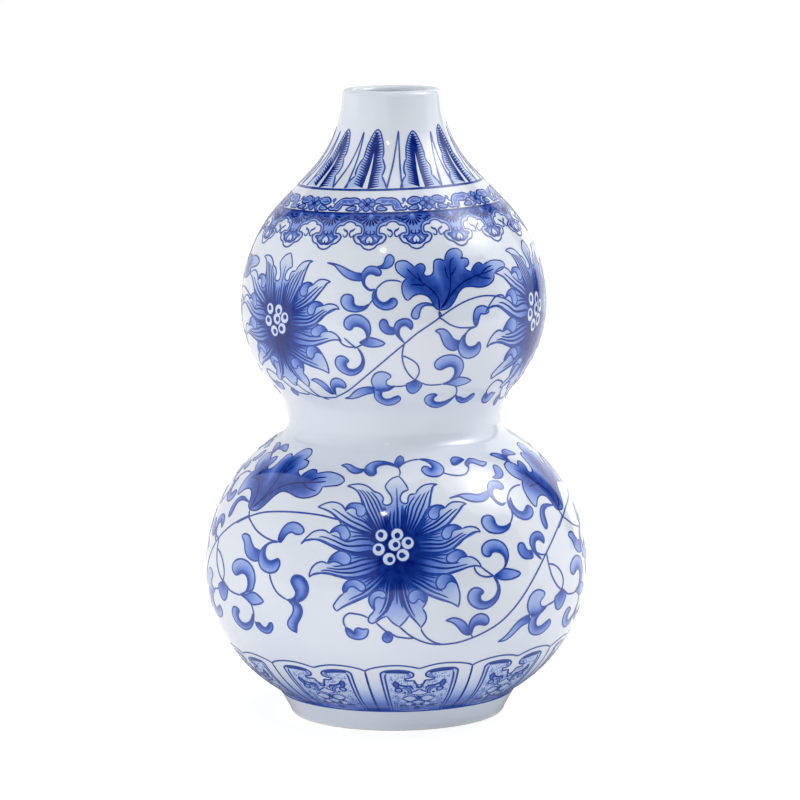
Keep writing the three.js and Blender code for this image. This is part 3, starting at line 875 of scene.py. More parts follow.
# %% Scrolls on one bulb only
LOWER_ONLY = scrolls("""
line: 0.7,40.7 2.5,38.9 4.5,37.2 7,35.7 10,34.5 13,34 16,33.9 20,34.3 24.5,35.5 29.5,37.5 34,40 38.5,43.8
 43,48.5 48,54 53.5,59.3 60,64.1 65,67 70.3,69.6;
blade: 34,32.8 36,34 38,36 40,38.4 42.5,40 45.5,40.8 | 45.4,38 | 43,37.4 41,36 39,34.2 36.8,33 34,32.8;
blade: -24.4,94.6 -22.5,95.3 -20,95 -17.5,93.9 -15,93.4 -13.6,93.6 | -13.6,92.6 | -15.5,91.8 -17.6,91.7
 -20,92.6 -22,94 -24.4,94.6;
hook: -13.4,93.6 -12.6,95 -11,96.2 -8.5,97 -6,97 -3.5,96.6 -1,95.8 0.5,94.8 1.8,93.8 | 0.4,94.6 -1.4,95.2
 -4,95.6 -6.6,95.2 -8.2,94.2 -8.2,93 -8,92 -9,91 -10.6,90.9 -12.2,91.6 -13.2,92.6;
leaf: 1.2,94 -0.2,95.4 0,97 1,98.6 2.4,99.4 3.6,98.6 3.9,97.2 3.2,95.8 2,94.6 1.2,94;
line: 1.6,90.8 2,92 1.8,93.2 1.2,94.3;
line: 3.4,95.6 5,96.6 8,97.4 11,97.6;
hook: 11,97.7 14.5,97.5 17.6,96.6 20,95.2 21,93.4 20.4,91.6 18.6,90.4 16,90 13.4,90.6 11.6,92 11.4,93.4
 12.6,94.4 14.2,94.2 15.4,93.4 | 16.2,94 15.6,95.4 13.8,96.8 11,97.7;
line: 20.2,91.4 23,90.4 26.5,89.8 30,90.2 32.4,92 33.4,93.6;
hook: 25.6,94.8 26,96.4 28,97.5 30.2,97.4 32,96.6 32.8,96 | 31.4,95.6 29.6,94.8 27.6,94.2 26.2,94.2
 25.6,94.8;
leaf: 31.8,94.4 33.6,95.4 35.6,96.2 38,95.8 40.4,94.6 43.4,93.8 | 41.8,92.8 40,92.5 38,93.4 35.8,94.4
 33.8,94 32.6,92.6;
line: -42.4,55.4 -41.8,53.6 -40.6,51.4 -39,49.6 -37,48.4 -35.4,47.8;
hook: -35.6,47.7 -33.8,48.1 -32.4,49.2 -32.2,50.8 -33.2,52.4 -33.9,53.8 -33.3,55.4 -31.6,56 -29.6,55.4
 -28.2,53.8 -27.8,51.7 -28.6,49.4 -30.4,47.9 -33,47.3 -35.6,47.7;
hook: -34.8,47.4 -33.4,46.2 -33.2,44.6 -34,42.8 -35.4,41 -35.9,39.4 -35.2,38 -33,36.9 | -32.8,38.2
 -32.2,40.2 -30.8,42.4 -30.1,44.4 -30.5,46.2 -32,47.3;
line: 53.4,83.2 50,83.1 47,82.2 44.6,80.6 43.1,78.6 42.7,76;
leaf: 36,83 33.5,82.4 31,82.1 28.5,82.6 25.5,82.8 22.5,82.3 19.8,81.7 | 22.5,82.1 24.2,81.9 26.2,80.7
 28.5,79.9 31,79.6 33.5,79.9 36,81.2;
line: 49.4,60.4 51.4,59.4 53.4,59.2;
line: 53.9,59.9 54,57.5 54.4,55 55.4,52 57,49.6 58.8,47.8 60.5,46.6;
line: 54.3,56 57,55.2 59.5,53.6 61.4,51.2 62,49 61.6,47.4 60.8,46.6;
hook: 66.4,73.6 63.6,74.4 60.8,74.8 58.4,74.2 56.6,72.6 55.7,70.2 55.9,68.2 56.6,67.1 57.5,67.2 |
 58.1,68.4 58.3,70.2 58.6,71.8 59.6,73 61.8,73.8 64.4,73.8;
leaf: 57.4,93.8 56.3,95.4 53.7,96.5 51,96.9 48.6,96.5 | 50.4,95.6 52.4,94.3 54.6,93.2 56.2,92.9 57.4,93.8;
leaf: 57.4,94 57,95.4 58.4,96.9 61.4,97.4 64,96.4 66.4,94.4 | 63.4,94.5 60.4,94.8 58.6,94.6 57.4,94;
line: 57.4,94 57.2,92.6 56.4,91.2""")
LOWER_LEFT = scrolls("""
line: 58.7,50 61.8,48.1 64,47 68,46.5 70,46.6;
leaf: 70,46.5 73,47.2 75.6,48.3 77.6,48.2 79.6,47.2 80.9,46 | 79,45 76.6,44.4 74.8,44.5 73,45.6 71,46.4;
line: 73.4,45.8 74.6,44.9 75.4,43.4 75.7,41.6 75.5,39.8;
blade: 67.4,65.6 69,66.4 71.5,66 73.5,64 75.5,62.5 77.8,62.3 | 77.8,58.7 | 75.5,58.6 73,59.3 71,61
 69.8,63.5 67.4,65.6;
hook: 85.4,65.8 82.4,65.4 80.2,64.2 78.6,62.4 78,60.4 78.4,58.2 80,56.4 83,55.6 85.8,56.4 87,58.4
 86.8,59.8 86,60.6 | 85,60 83.5,59.4 82,59.6 80.7,60.8 80.3,62.6 80.8,64.2 82.6,65.3;
line: 85.5,65.8 82,66 78,66.9 74,68.4 70.5,70.4 68,72 66.9,74.3;
leaf: 85.5,65.7 84.9,67 85.4,69.5 86.8,71.6 89,72.6 91.5,72.4 93.6,71.2 94.2,70 93.4,69 | 91.5,68.9
 89.6,69.4 88,68.6 87,67 86.2,65.8;
line: 62,69 68,72 74,74.2 80,75.3 87,75.95 94,76.05 100,75.7 106.5,74.6""")
UPPER_ONLY = scrolls("""
line: 0.7,40.7 2.5,38.9 4.5,37.2 7,35.7 12,34.3 20,34.4 24,35.8 30,39 36,43.5 44,50 50,55 54.8,58.9 60,63
 68.5,68.3 68.3,70.6;
line: 68.5,68.3 74,71.3 80,73.7 87,74.9 94,74.3 100,72.5;
blade: 26.3,34.4 29,35.4 31.5,37.6 34,39.4 37,40.5 40,40.8 42,40.6 | 41.2,37.9 | 38.5,37.4 35.5,36.2
 32.5,35 29.5,34.4 26.3,34.4;
line: 49.8,41.2 53,41.1 55.8,41.5;
hook: 80.8,35.4 80,33 78,31 75,29.7 72,29.4 68.8,30.2 66.4,31.8 65.3,33.8 65.8,35.6 67.6,36.7 69.8,36.7
 71.2,35.8 | 70.2,35 69.8,33.8 70.6,32.6 72.6,31.9 75.4,32 78,32.9 79.8,34.2 80.8,35.4;
hook: 80.8,35.6 81.8,33.6 83.4,32 85.6,30.9 88.2,30.6 90.6,31.2 92.3,32.6 92.5,34 91.6,35 90.2,34.8 |
 89,33.6 87.4,32.8 85.6,33.2 84,33.9 82.4,34.2 80.8,35.6""")
print(len(LOWER_ONLY + LOWER_LEFT), "scrolls are only below,", len(UPPER_ONLY), "only above")

# %% Stalks under a lotus, and how a scroll is painted
LOTUS_FOOT = scrolls("""
line: 7.4,40 7.8,38.8 9,37 10.5,35.6 12.5,34.5 14,34.1;
line: -6.3,42 -5,40.6 -3.6,39.3 -2.6,38.6 -1,37.8 0,37.2 1.5,36.9 3.5,36.6 5.5,36.6;
leaf: -2.7,39.2 -3.8,38.4 -4.5,37 -4.2,35.8 -3,35.2 -1.9,35.7 -1.4,37 -1.6,38.2;
line: -8.8,43.6 -10.5,44.4 -12.5,44.8 -14.6,44.9 -16.2,43.6 -16.5,41.8 -16,40.2;
hook: -16,40.4 -15.8,38.4 -14.8,36.9 -13,36.2 -11,36.3 -9.6,37.2 -8.9,38.8 -8.9,39.9 | -10.5,39.7 -12,40.1
 -13,39.4 -13.4,38.5 | -14.4,39.4 -16,40.3""")
SCROLL_LINE, SCROLL_EDGE, SCROLL_INK = 0.57, 0.58, 0.71
HOOK_REACH, LEAF_REACH, SCROLL_DEEP, SCROLL_PALE = 1.5, 4.0, 0.97, 0.19


def paint_scroll(art, kind, path):
    """A plain line, or a hook, leaf or blade with its outline and its pooled ink."""
    runs = runs_of(path)
    if kind == "line":
        art.stroke(runs, SCROLL_LINE, SCROLL_INK)
        return
    if kind == "hook":
        deep, reach = smooth(runs[-1], COARSE), HOOK_REACH
    else:
        deep, reach = (runs[1][:1] if kind == "blade" else runs[0][:1]), LEAF_REACH
    art.filled(runs, pooled(deep, reach, SCROLL_DEEP, SCROLL_PALE), SCROLL_EDGE, SCROLL_INK)


print(len(LOTUS_FOOT), "stalks and leaves are under each lotus")

# %% [markdown]
# ## The great leaf
# Each stem ends in one broad leaf, almost black along its veins and pale at its lobes. A wash of one tone
# would look cut out, so the ink pools along the middle of the long veins and thins away from them. The
# leaf on the lower bulb could be a drawing of its own, but it is the upper one made larger and left to
# hang down on both sides of its root, as the two are alike lobe for lobe.

# %% The great leaf
LEAF_EDGE = """68.4,70.8 66.6,72 65.4,74.4 64,76 61.6,76.9 59,76.6 57.4,75.6 56.4,74.7 | 55.2,75.4
 54.2,77.6 54,80 54.8,81.8 56,82.6 | 54.4,83.6 52.6,85 51.6,86.8 52,88.6 53.8,89.3 56,89.2 58,88
 59.4,86.8 | 60.4,87.6 62,88.1 63.4,87.4 63.7,86 63,84.6 63.3,83.8 64.4,83.4 66,83.8 67,85 67.3,87
 67.8,88.8 69.2,89.5 71,89.4 72.3,88.6 | 73,90.6 74.6,92.4 77,93.2 79.4,93 80.9,91.6 80.6,90 79.6,89.2 |
 81,89.4 82.8,89 83.2,87.6 82.2,86.4 80.8,85.8 81.6,84.8 83.4,84.1 | 84.6,85.6 86.4,86.9 88.4,87.2
 89.9,86.2 | 92,86.9 95,87.5 98.4,87.3 100.8,86.6 101.8,85.4 100.2,84 97,83.2 94.6,82.6 | 94,80.6
 92,79.2 89,78.3 86,78.2 82.6,78.7 79.4,78.6 77,77 75.4,74.8 73.6,72.6 71.4,71.2 68.4,70.8"""
LEAF_VEINS = """ 68.4,71 68.2,75 65.6,78.4 62,81.2 58.8,83.8 56.2,86.4;
 64,80 60.5,80.3 57.4,80.4;
 62,81.4 61,83 60.4,84.6;
 69,71.4 71.4,74.5 73.2,78 73.8,82 74.2,86 75,88.6 76.6,89.8;
 73.8,83 75.6,84.6 77.2,86.6;
 73,82 72.2,84 72,87;
 70,72 73.6,76.4 77.6,79.6 81.6,81.4 86,82.6 91,83.4 95,84.4;
 86,82.4 89,81.4 92.6,81;
 88,83 91,84.8 94.5,85.7""".split(";")
FLAT_RADIUS = 60.0
LEFT = -2 * math.pi * FLAT_RADIUS / 3  # one repeat to the left
LEAF_ROOT, LOWER_LEAF_ROOT = (68.4, 70.8), (67 + LEFT, 74.3)
WIDER, SIDEWAYS, TALLER, DROOP = 1.11, 0.06, 1.213, 0.111
LEAF_POOL = 6.2, 0.79, 0.20, 2.6  # reach, strong ink, weak ink, fall
VEIN_STEP, LONG_VEIN = 0.9, 5  # a long vein has this many points or more


def as_drawn(reach):
    """A leaf or a lotus left as it was drawn."""
    return reach


def drooping(reach):
    """The leaf as it is on the lower bulb: larger, and hanging down on both sides of its root."""
    x, y = reach.T
    return np.column_stack([WIDER * x + SIDEWAYS * y, TALLER * y - DROOP * np.abs(x)])


def paint_great_leaf(art, root, grow):
    """A leaf at its root: a wash that pools along the long veins, an edge and the veins."""
    def grown(path):
        return [np.array(root) + grow(run - LEAF_ROOT) for run in runs_of(path)]

    veins = [grown(vein) for vein in LEAF_VEINS]
    long_veins = [smooth(vein[0], VEIN_STEP) for vein in veins if len(vein[0]) >= LONG_VEIN]
    middle = np.vstack([vein[len(vein) // 4:len(vein) * 3 // 4] for vein in long_veins])
    art.wash(grown(LEAF_EDGE), pooled(middle, *LEAF_POOL), "curl")
    art.stroke(grown(LEAF_EDGE), width=0.5, ink=0.84)
    for vein in veins:
        art.stroke(vein, width=(0.66, 0.46), ink=(1.0, 0.96), coat="hatch")


print("the great leaf has", len(LEAF_VEINS), "veins")

# %% [markdown]
# ## Painting the two bulbs
# The same artwork goes on both bulbs, three times round each. It could be stamped three times alike, but
# on the real vase the band sways to one side and dips as it goes round, so each repeat is bent by where it
# lands. The upper drawing is pressed smaller to fit its bulb and turned to the left, and its lotus is
# wider below. Each third of a turn is a piece of its own, which keeps the meshes small.

# %% Where the drawing lands on each bulb
THIRDS = [0, 2 * math.pi / 3, 4 * math.pi / 3]
LOWER_SWAY, LOWER_DIP = 1.2, -1.7
UPPER_SWAY, UPPER_STRETCH, UPPER_LIFT, UPPER_LEVEL = -3.0, 0.13, 1.3, 63
UPPER_TURN, UPPER_START, UPPER_PRESS = math.radians(-48.5), (34, 120.8), 0.871


def swayed(x, y, turn, spin, sway, dip):
    """The angle and height of a repeat, which sways to one side and dips as it goes round."""
    flat = turn + x / FLAT_RADIUS
    lean = np.sin(flat + spin) - np.sin(flat)
    return flat + spin + sway * lean / FLAT_RADIUS, y + dip(y, lean)


def lower_dip(y, lean):
    """How far the lower drawing dips, the same at every height."""
    return LOWER_DIP * lean


def upper_dip(y, lean):
    """How far the upper drawing is stretched from its level, on one side of the vase."""
    return np.minimum(UPPER_STRETCH * (y - UPPER_LEVEL), UPPER_LIFT) * np.maximum(lean, 0)


def on_lower_bulb(x, y, spin):
    """The angle and the length up the wall of a place on the lower drawing."""
    return swayed(x, y, 0, spin, LOWER_SWAY, lower_dip)


def on_upper_bulb(x, y, spin):
    """The same for the upper drawing, which is turned and pressed smaller."""
    angle, height = swayed(x, y, UPPER_TURN, spin, UPPER_SWAY, upper_dip)
    return angle, UPPER_START[1] + UPPER_PRESS * (height - UPPER_START[0])


print("the upper drawing is pressed to", UPPER_PRESS, "and turned", round(math.degrees(UPPER_TURN), 1))

# %% Lower and upper lotus bands
WIDE_BELOW, NARROWING, WIDE_AT = 1.20, 0.0078, 46
LEAN, LEAN_AT, ASIDE = 0.04, 60, 0.3
SIDE_LIFT, SINK, STRETCH, STRETCH_AT = 0.09, 0.9, 0.04, 66


def upper_lotus(p):
    """The lotus as it is on the upper bulb: wider below, narrower above, and lifted at its sides."""
    x, y = p.T
    across = x * (WIDE_BELOW - NARROWING * (y - WIDE_AT)) + LEAN * (y - LEAN_AT) + ASIDE
    up = y + SIDE_LIFT * np.abs(x) - SINK + STRETCH * (y - STRETCH_AT)
    return np.column_stack([across, up])


def moved(path, dx=0, dy=0, grow=1):
    """The same line shifted, and swollen about its own middle."""
    runs = runs_of(path)
    middle = np.vstack(runs).mean(axis=0)
    return [middle + (run - middle) * grow + (dx, dy) for run in runs]


def shift_of(text):
    """A shift written as 'dx,dy' or 'dx,dy,grow', with an L in front for one more repeat to the left."""
    dx, *rest = map(float, text.lstrip("L").split(","))
    return dx + (LEFT if text.startswith("L") else 0), *rest


def lotus_band(which, own, leaf_root, leaf_grow, bend):
    """The artwork of one bulb: lotus, scrolls and great leaf. which picks the shift to use."""
    art = Artwork()
    paint_lotus(art)
    for kind, path in LOTUS_FOOT:
        paint_scroll(art, kind, path)
    art.patches = [(bend(points), *rest) for points, *rest in art.patches]
    for head, path in SCROLLS:
        kind, *shifts = head.split()
        if shifts[which] != "none":
            paint_scroll(art, kind, moved(path, *shift_of(shifts[which])))
    for kind, path in own:
        paint_scroll(art, kind, path)
    paint_great_leaf(art, leaf_root, leaf_grow)
    return art


lower_own = LOWER_ONLY + [(kind, moved(path, LEFT)) for kind, path in LOWER_LEFT]
lower_band = lotus_band(0, lower_own, LOWER_LEAF_ROOT, drooping, as_drawn)
upper_band = lotus_band(1, UPPER_ONLY, LEAF_ROOT, as_drawn, upper_lotus)
for number, third in enumerate(THIRDS, 1):
    lay(lower_band, f"lower_lotus_painting_{number}", on_lower_bulb, [third])
    lay(upper_band, f"upper_lotus_painting_{number}", on_upper_bulb, [third])

# %% [markdown]
# ## Ring lines
# Plain lines run right round the neck, the shoulder and the foot. A painter holds the brush still and
# turns the wheel, so each is a single level stroke. They could be rings of their own, but drawn as brush
# lines they take the same ink as the rest. Each band on the vase dips a little to one side.

# %% Level lines turned on the wheel
SHOULDER_RADIUS, SHOULDER_DIP, PANEL_RADIUS = 40.0, 0.9, 50.0
SHOULDER_LINES = [(195.45, 0.85, 0.78), (186.1, 0.6, 0.92)]  # height, width and ink
FOOT_LINE = (-0.4, 0.5, 0.72)
RING_POINTS = 361


def around(radius, dip, lean=0.0, top=0.0):
    """Where flat artwork goes. A band dips to one side; one with a top leans, and its foot is level."""
    def place(x, y, spin):
        angle = (x + lean * (top - y)) / radius + spin
        share = np.clip(y / top, 0, 1) if top else 1
        return angle, y + dip * share * np.sin(angle)
    return place


def ring_line(art, radius, y, width, ink):
    """A level line right round the vase."""
    half = math.pi * radius
    line = np.column_stack([np.linspace(-half, half, RING_POINTS), np.full(RING_POINTS, y)])
    art.ribbon(line, width, ink, tip=1)


on_shoulder = around(SHOULDER_RADIUS, SHOULDER_DIP)
rings = Artwork()
for line in SHOULDER_LINES:
    ring_line(rings, SHOULDER_RADIUS, *line)
lay(rings, "shoulder_ring_lines", on_shoulder, [0])
foot_line = Artwork()
ring_line(foot_line, PANEL_RADIUS, *FOOT_LINE)
lay(foot_line, "foot_ring_line", around(PANEL_RADIUS, 0), [0])

# %% [markdown]
# ## Leaves on the neck
# Ten upright banana leaves stand round the neck. Each has a white midrib, feathered veins that are almost
# solid beside it, a pale margin and a scalloped edge; a slim blade fills the gap to the next. One leaf is
# drawn and laid ten times, because the real ones were pounced from one pricked pattern too.

# %% One neck leaf and its blade
NECK_RADIUS, NECK_DIP, NECK_LEAVES = 24.0, 0.75, 10
LEAF_STEP = 360 / NECK_LEAVES
NECK_LEAF = """-13,196 -12.3,199 -11.2,201.1 | -11.5,203 -11.4,204.8 -10.9,206.6 -10.2,207.9 | -10.1,209.5
 -9.8,212 -9,214.2 -8,216.2 -6.3,217.6 -4.9,216.8 -4.1,215 -3.5,213 -3.2,211 -3.1,209.5 -3.4,207.8 |
 -2.9,206.3 -2.4,204.6 -2.6,202.8 -3.1,201 | -2.2,198.5 -1.5,196"""
LEAF_MIDRIB = "-7.9,195.9 -7.55,201 -7.1,206 -6.7,210 | -6.6,206 -6.6,201 -6.55,195.9"
NECK_BLADE = ["-1.5,196 -0.9,200 0.1,205 1.2,210.5 2.6,216.9", "2.6,196 2.45,201 2.55,208 2.8,216.9"]
LEAF_BOTTOM, LEAF_TOP = 196, 217
VEIN_SPACING, VEIN_LOW, VEIN_HIGH = 0.95, 196.3, 216.6
VEIN_RISES = [(-1, 0.5), (1, 0.15)]  # side, and how steeply its veins rise
VEIN_WIDTHS, VEIN_INKS = (1.05, 1.05, 0.85, 0.52, 0.42), (0.96, 0.94, 0.88, 0.78, 0.66)
SPINE_Y, SPINE_X = (196, 210.6), (-7.2, -6.65)
SHARE_Y, VEIN_SHARES = (196, 200, 206, 210), (0.64, 0.80, 0.86, 0.97)
TIP_ROOM, LEAST_ROOM, VEIN_OVERLAP, VEIN_POINTS = 0.8, 0.7, 0.2, 9
EDGE_LEVEL = 1.0  # the leaf's edge within this height of a vein bounds it
LOW_LEAF, LOW_SHARE = math.radians(LEAF_STEP), 0.95  # the leaf right of the middle is shorter

on_neck = around(NECK_RADIUS, NECK_DIP)


def on_neck_by_hand(x, y, spin):
    """A neck leaf where the painter set it."""
    share = LOW_SHARE if np.isclose(spin, LOW_LEAF) else 1
    return on_neck(x, LEAF_BOTTOM + share * (y - LEAF_BOTTOM), spin)


neck = Artwork()
neck.wash(NECK_LEAF, tone=0.15, coat="ground")
edge = outline(NECK_LEAF)
for y in np.arange(VEIN_LOW, VEIN_HIGH, VEIN_SPACING):
    spine = np.interp(y, SPINE_Y, SPINE_X)
    share = np.interp(y, SHARE_Y, VEIN_SHARES)
    for side, rise in VEIN_RISES:
        across = edge[(np.abs(edge[:, 1] - y - rise) < EDGE_LEVEL) & (side * (edge[:, 0] - spine) > 0)]
        room = np.abs(across[:, 0] - spine).min() if len(across) else TIP_ROOM
        reach = share * max(LEAST_ROOM, room)
        end = spine + side * reach, min(y + rise * reach, LEAF_TOP)
        line = np.linspace((spine - side * VEIN_OVERLAP, y), end, VEIN_POINTS)
        neck.ribbon(line, VEIN_WIDTHS, VEIN_INKS, "hatch", tip=0.7)
neck.wash(LEAF_MIDRIB, tone=0.02, coat="white")
neck.stroke(NECK_LEAF, width=0.52, ink=0.70)
for blade in NECK_BLADE:
    neck.stroke(blade, width=0.52, ink=0.66)
lay(neck, "neck_leaf_painting", on_neck_by_hand, np.radians(LEAF_STEP * np.arange(NECK_LEAVES)))

# %% [markdown]
# ## The strip of florets
# Under the neck a narrow strip of florets and leaves goes round. Each floret could be drawn by itself, but
# they are small repeats, so two units are drawn on one side and mirrored about their floret. Florets with
# long, curling leaves take turns with florets with short ones, eleven in all.

# %% Florets, leaves and buds
FLORET = (-9.65, 189.45)
FLORET_PETALS = [(0, 1.7), (-2, 0), (2, 0.1), (0.1, -1.65)]
FLORET_DOTS = [(-2, 1.65), (2, 1.75), (-2, -1.7), (2.2, -1.65)]
LONG_LEAF = """-6.9,190.2 -6.4,191.4 -5,192.1 -3.5,192.2 -2,192 -0.5,192.1 1,191.7 2.2,190.8 2.9,189.5
 3.2,188.4 4,188 4.6,188.9 | 5.2,188.5 5,187.5 4,187 2.5,187.1 1.2,186.9 0.4,187.6 0,188.6 -0.2,189.2 |
 -1,189.3 -2.5,189.2 -4,189.3 -5,189.9 -6.2,189.8 -6.9,190.2"""
SHORT_LEAF = """-1.65,190.3 -2.45,191.2 -3.85,192.1 -5.45,192.2 -6.85,191.8 -7.45,190.6 -7.05,190 |
 -5.95,189.6 -4.45,189.2 -2.95,189.3 -1.65,190.3"""
UNDER_LEAF = """-6.1,187.6 -5.5,188.8 -4.5,188.9 -3.4,188.5 -2.4,188 -2.1,187.4 -2.8,187.1 -4.5,187
 -6.1,187.6"""
UNDER_STALK = "-8,187.5 -7.1,186.9 -5.9,186.7 -4.9,187.1"
BUD, BUD_STALK = (4.3, 191.2), "4.2,190.6 3.9,189.9 3.2,189.6"
LONG_PALES = ["-6.3,190.4 -5.4,190.7 -4.2,191", "-2.9,190 -1.9,190.2 -1.4,190.8",
              "0.2,190.5 0.9,190.2 1,189.6"]
SHORT_PALES = ["-6.6,190.6 -5.4,191 -4.2,190.9"]
INSET_LEAST, TOO_FEW = 0.85, 3  # share of a gap that stays free, and points too few for a line


def mirrored(path, axis):
    """The same line on the other side of an upright axis."""
    return [run * (-1, 1) + (2 * axis, 0) for run in runs_of(path)]


def both_sides(path, axis):
    """The same line on both sides of an upright axis."""
    return [runs_of(path), mirrored(path, axis)]


def within(path, gap):
    """Lines drawn inside a shape, at a gap from its edge."""
    ring, kept = outline(path), []
    for way in (gap, -gap):
        for run in runs_of(path):
            line = smooth(run)
            line = line + way * left_of(line)
            line = line[(nearest(line, ring) > INSET_LEAST * gap) & inside(line, ring)]
            if len(line) > TOO_FEW:
                kept.append(line)
    return kept


print(len(FLORET_PETALS), "petals and", len(FLORET_DOTS), "dots to a floret")

# %% Painting the strip
FLORETS, STRIP_LINE, STRIP_TONE, STRIP_INK = 11, 0.56, 0.56, 0.80
STRIP_STEP = 2 * math.pi / FLORETS
PALE_GAP, PALE_LINE, PALE_INK = 0.5, 0.26, 0.20
FLORET_DABS = [(FLORET_PETALS, 12, [((1.38, 1.2), 0.76, "line"), ((0.86, 0.74), 0.40, "white")]),
               (FLORET_DOTS, 10, [(0.78, 0.68, "curl"), (0.36, 0.34, "white")])]  # size, ink and coat


def paint_strip(art, leaf, pales, budded):
    """One floret with a leaf, a leaf under it and perhaps a bud on each side."""
    for places, sides, dabs in FLORET_DABS:
        for dx, dy in places:
            for size, ink, coat in dabs:
                art.disc((FLORET[0] + dx, FLORET[1] + dy), size, ink, coat, sides)
    art.disc(FLORET, radius=0.75, ink=0.92, coat="dot", sides=10)
    for big, under in zip(both_sides(leaf, FLORET[0]), both_sides(UNDER_LEAF, FLORET[0])):
        art.filled(big, STRIP_TONE, STRIP_LINE, STRIP_INK)
        art.filled(under, STRIP_TONE, STRIP_LINE, STRIP_INK)
        for line in within(big, PALE_GAP) + within(under, PALE_GAP):
            art.ribbon(line, PALE_LINE, PALE_INK, "hatch")
    for stalk in both_sides(UNDER_STALK, FLORET[0]):
        art.stroke(stalk, width=(0.3, 0.9, 0.8, 0.4), ink=0.72)
    for pale in pales:
        for line in both_sides(pale, FLORET[0]):
            art.stroke(line, width=0.42, ink=0.28, coat="white")
    if budded:
        for side, stalk in zip((1, -1), both_sides(BUD_STALK, FLORET[0])):
            bud = FLORET[0] + side * (BUD[0] - FLORET[0]), BUD[1]
            art.disc(bud, radius=0.85, ink=0.60, coat="curl", sides=12)
            art.stroke(stalk, width=0.5, ink=0.66)


long_strip, short_strip = Artwork(), Artwork()
paint_strip(long_strip, LONG_LEAF, LONG_PALES, True)
paint_strip(short_strip, SHORT_LEAF, SHORT_PALES, False)
lay(long_strip, "shoulder_long_leaf_florets", on_shoulder, STRIP_STEP * np.arange(-4, 5, 2))
lay(short_strip, "shoulder_short_leaf_florets", on_shoulder, STRIP_STEP * np.arange(-5, 6, 2))

# %% [markdown]
# ## The skirt of lappets
# Below the strip hangs a skirt of eighteen lappets, each with a small fan, a double arch at its sides and a
# trefoil in its head. They could be eighteen drawings, but the real ones come from one pattern too, so one
# lappet is drawn from its middle line, mirrored and laid eighteen times. Its blue is deepest under the
# ring line, so the wash there follows the height.

# %% Lines of one lappet
LAPPET_MIDDLE, ARCH_MIDDLE, LAPPET_TOP = -7.05, -0.07, 186.0
ARCH_OUTER = "-5.1,178.4 -5.1,180 -4.7,181.2 -4,182.1 -3,182.6 | -2,183 -1,183.5 -0.07,183.7"
ARCH_INNER = "-4.2,178.4 -4.3,179.8 -3.9,180.8 -3.1,181.3 -2.1,181.35 | -1.75,182 -1,182.55 -0.07,182.85"
HEAD = """-4.2,178.4 -3.2,178.4 -2.4,177.9 -2.1,177 -2.5,176 -3.2,175.1 -4.2,174.7 | -4.8,174.3 -5.5,173.4
 -6.5,172.9 -7.05,172.8"""
TREFOIL = """-5.1,178.4 -4.6,177.5 -3.6,177.5 -3.3,177 -4.1,176.4 -4.6,175.4 -5.3,175 -6,174.5 -6.7,174.55
 -7.05,174.8"""
HEART_SPOT = "-7.05,177.6 -7.9,176.7 -8.15,175.8 -7.7,174.95 -7.1,175.2"
HEART_NOTCH, TREFOIL_STEM = "-7.05,175.9 -7.05,174.9", "-7.05,179.6 -7.05,177.6"
EAR = "-7.1,178.1 -7.8,178.1 -8.35,178.5 -8.3,179.2 -7.8,179.3"
PALE_DROP = "-8.4,177.2 -9.3,176"
FAN_ROOT, FAN_WIDE, FAN_HIGH, FAN_PETALS = (-7.4, 184.9), 3.4, 3.9, 9
FAN_SHARES, FAN_WIDTHS = (0.36, 0.58, 0.8, 1.0), (0.24, 0.5, 0.72, 0.6)
ARCH_DABS = [(-1.3, 184.5), (-2.4, 184), (-3.4, 183.4)]
ARCH_CURLS = ["-1.85,180.2 -1.35,179.6 -0.75,179.4 -0.3,178.8 -0.3,177.9 -0.7,177.2 -1.25,177.3 -1.6,178",
              "1.9,180.3 1.35,179.6 0.85,179.4 0.45,178.8 0.5,177.9 0.95,177.2 1.5,177.3 1.8,178"]
ARCH_TOP, FAN_SPREAD, LAPPETS = 183.7, 84, 18


def by_height(heights, inks):
    """Ink that changes with the height up the wall."""
    def tone(points):
        return np.interp(points[:, 1], heights, inks)
    return tone


def backwards(path):
    """The same line drawn from its other end."""
    return [run[::-1] for run in reversed(runs_of(path))]


def with_mirror(path, axis):
    """A shape drawn as one half, closed by its mirror image."""
    return runs_of(path) + backwards(mirrored(path, axis))


skirt_tone = by_height((178.4, 181, 183, 184.5, 186), (0.34, 0.38, 0.48, 0.60, 0.82))
head_tone = by_height((173.5, 176, 178.4), (0.0, 0.06, 0.20))
print("a lappet is", round(2 * (ARCH_MIDDLE - LAPPET_MIDDLE), 2), "mm wide")

# %% Painting the skirt
skirt = Artwork()
far_side = 2 * LAPPET_MIDDLE - ARCH_MIDDLE
corners = [(ARCH_MIDDLE, ARCH_TOP), (ARCH_MIDDLE, LAPPET_TOP), (far_side, LAPPET_TOP), (far_side, ARCH_TOP)]
skirt_top = [np.array(corners[k:k + 2]) for k in range(3)]
skirt_edge = runs_of(ARCH_OUTER) + skirt_top + backwards(mirrored(ARCH_OUTER, LAPPET_MIDDLE))
skirt.wash(skirt_edge, skirt_tone, "ground")
for outer, inner in zip(both_sides(ARCH_OUTER, LAPPET_MIDDLE), both_sides(ARCH_INNER, LAPPET_MIDDLE)):
    skirt.wash(outer + backwards(inner), tone=0.20)
    skirt.stroke(outer, width=0.50, ink=0.74, tip=1)
    skirt.stroke(inner, width=0.50, ink=0.70, tip=1)
skirt.wash(with_mirror(HEAD, LAPPET_MIDDLE), head_tone, "ground")
skirt.wash(with_mirror(TREFOIL, LAPPET_MIDDLE), tone=0.54)
for half, leaf, ear in zip(*(both_sides(path, LAPPET_MIDDLE) for path in (HEAD, TREFOIL, EAR))):
    skirt.stroke(half, width=0.54, ink=0.72, tip=1)
    skirt.stroke(leaf, width=0.54, ink=0.80, tip=1)
    skirt.stroke(ear, width=(0.3, 0.6, 0.6, 0.4), ink=0.84, coat="hatch")
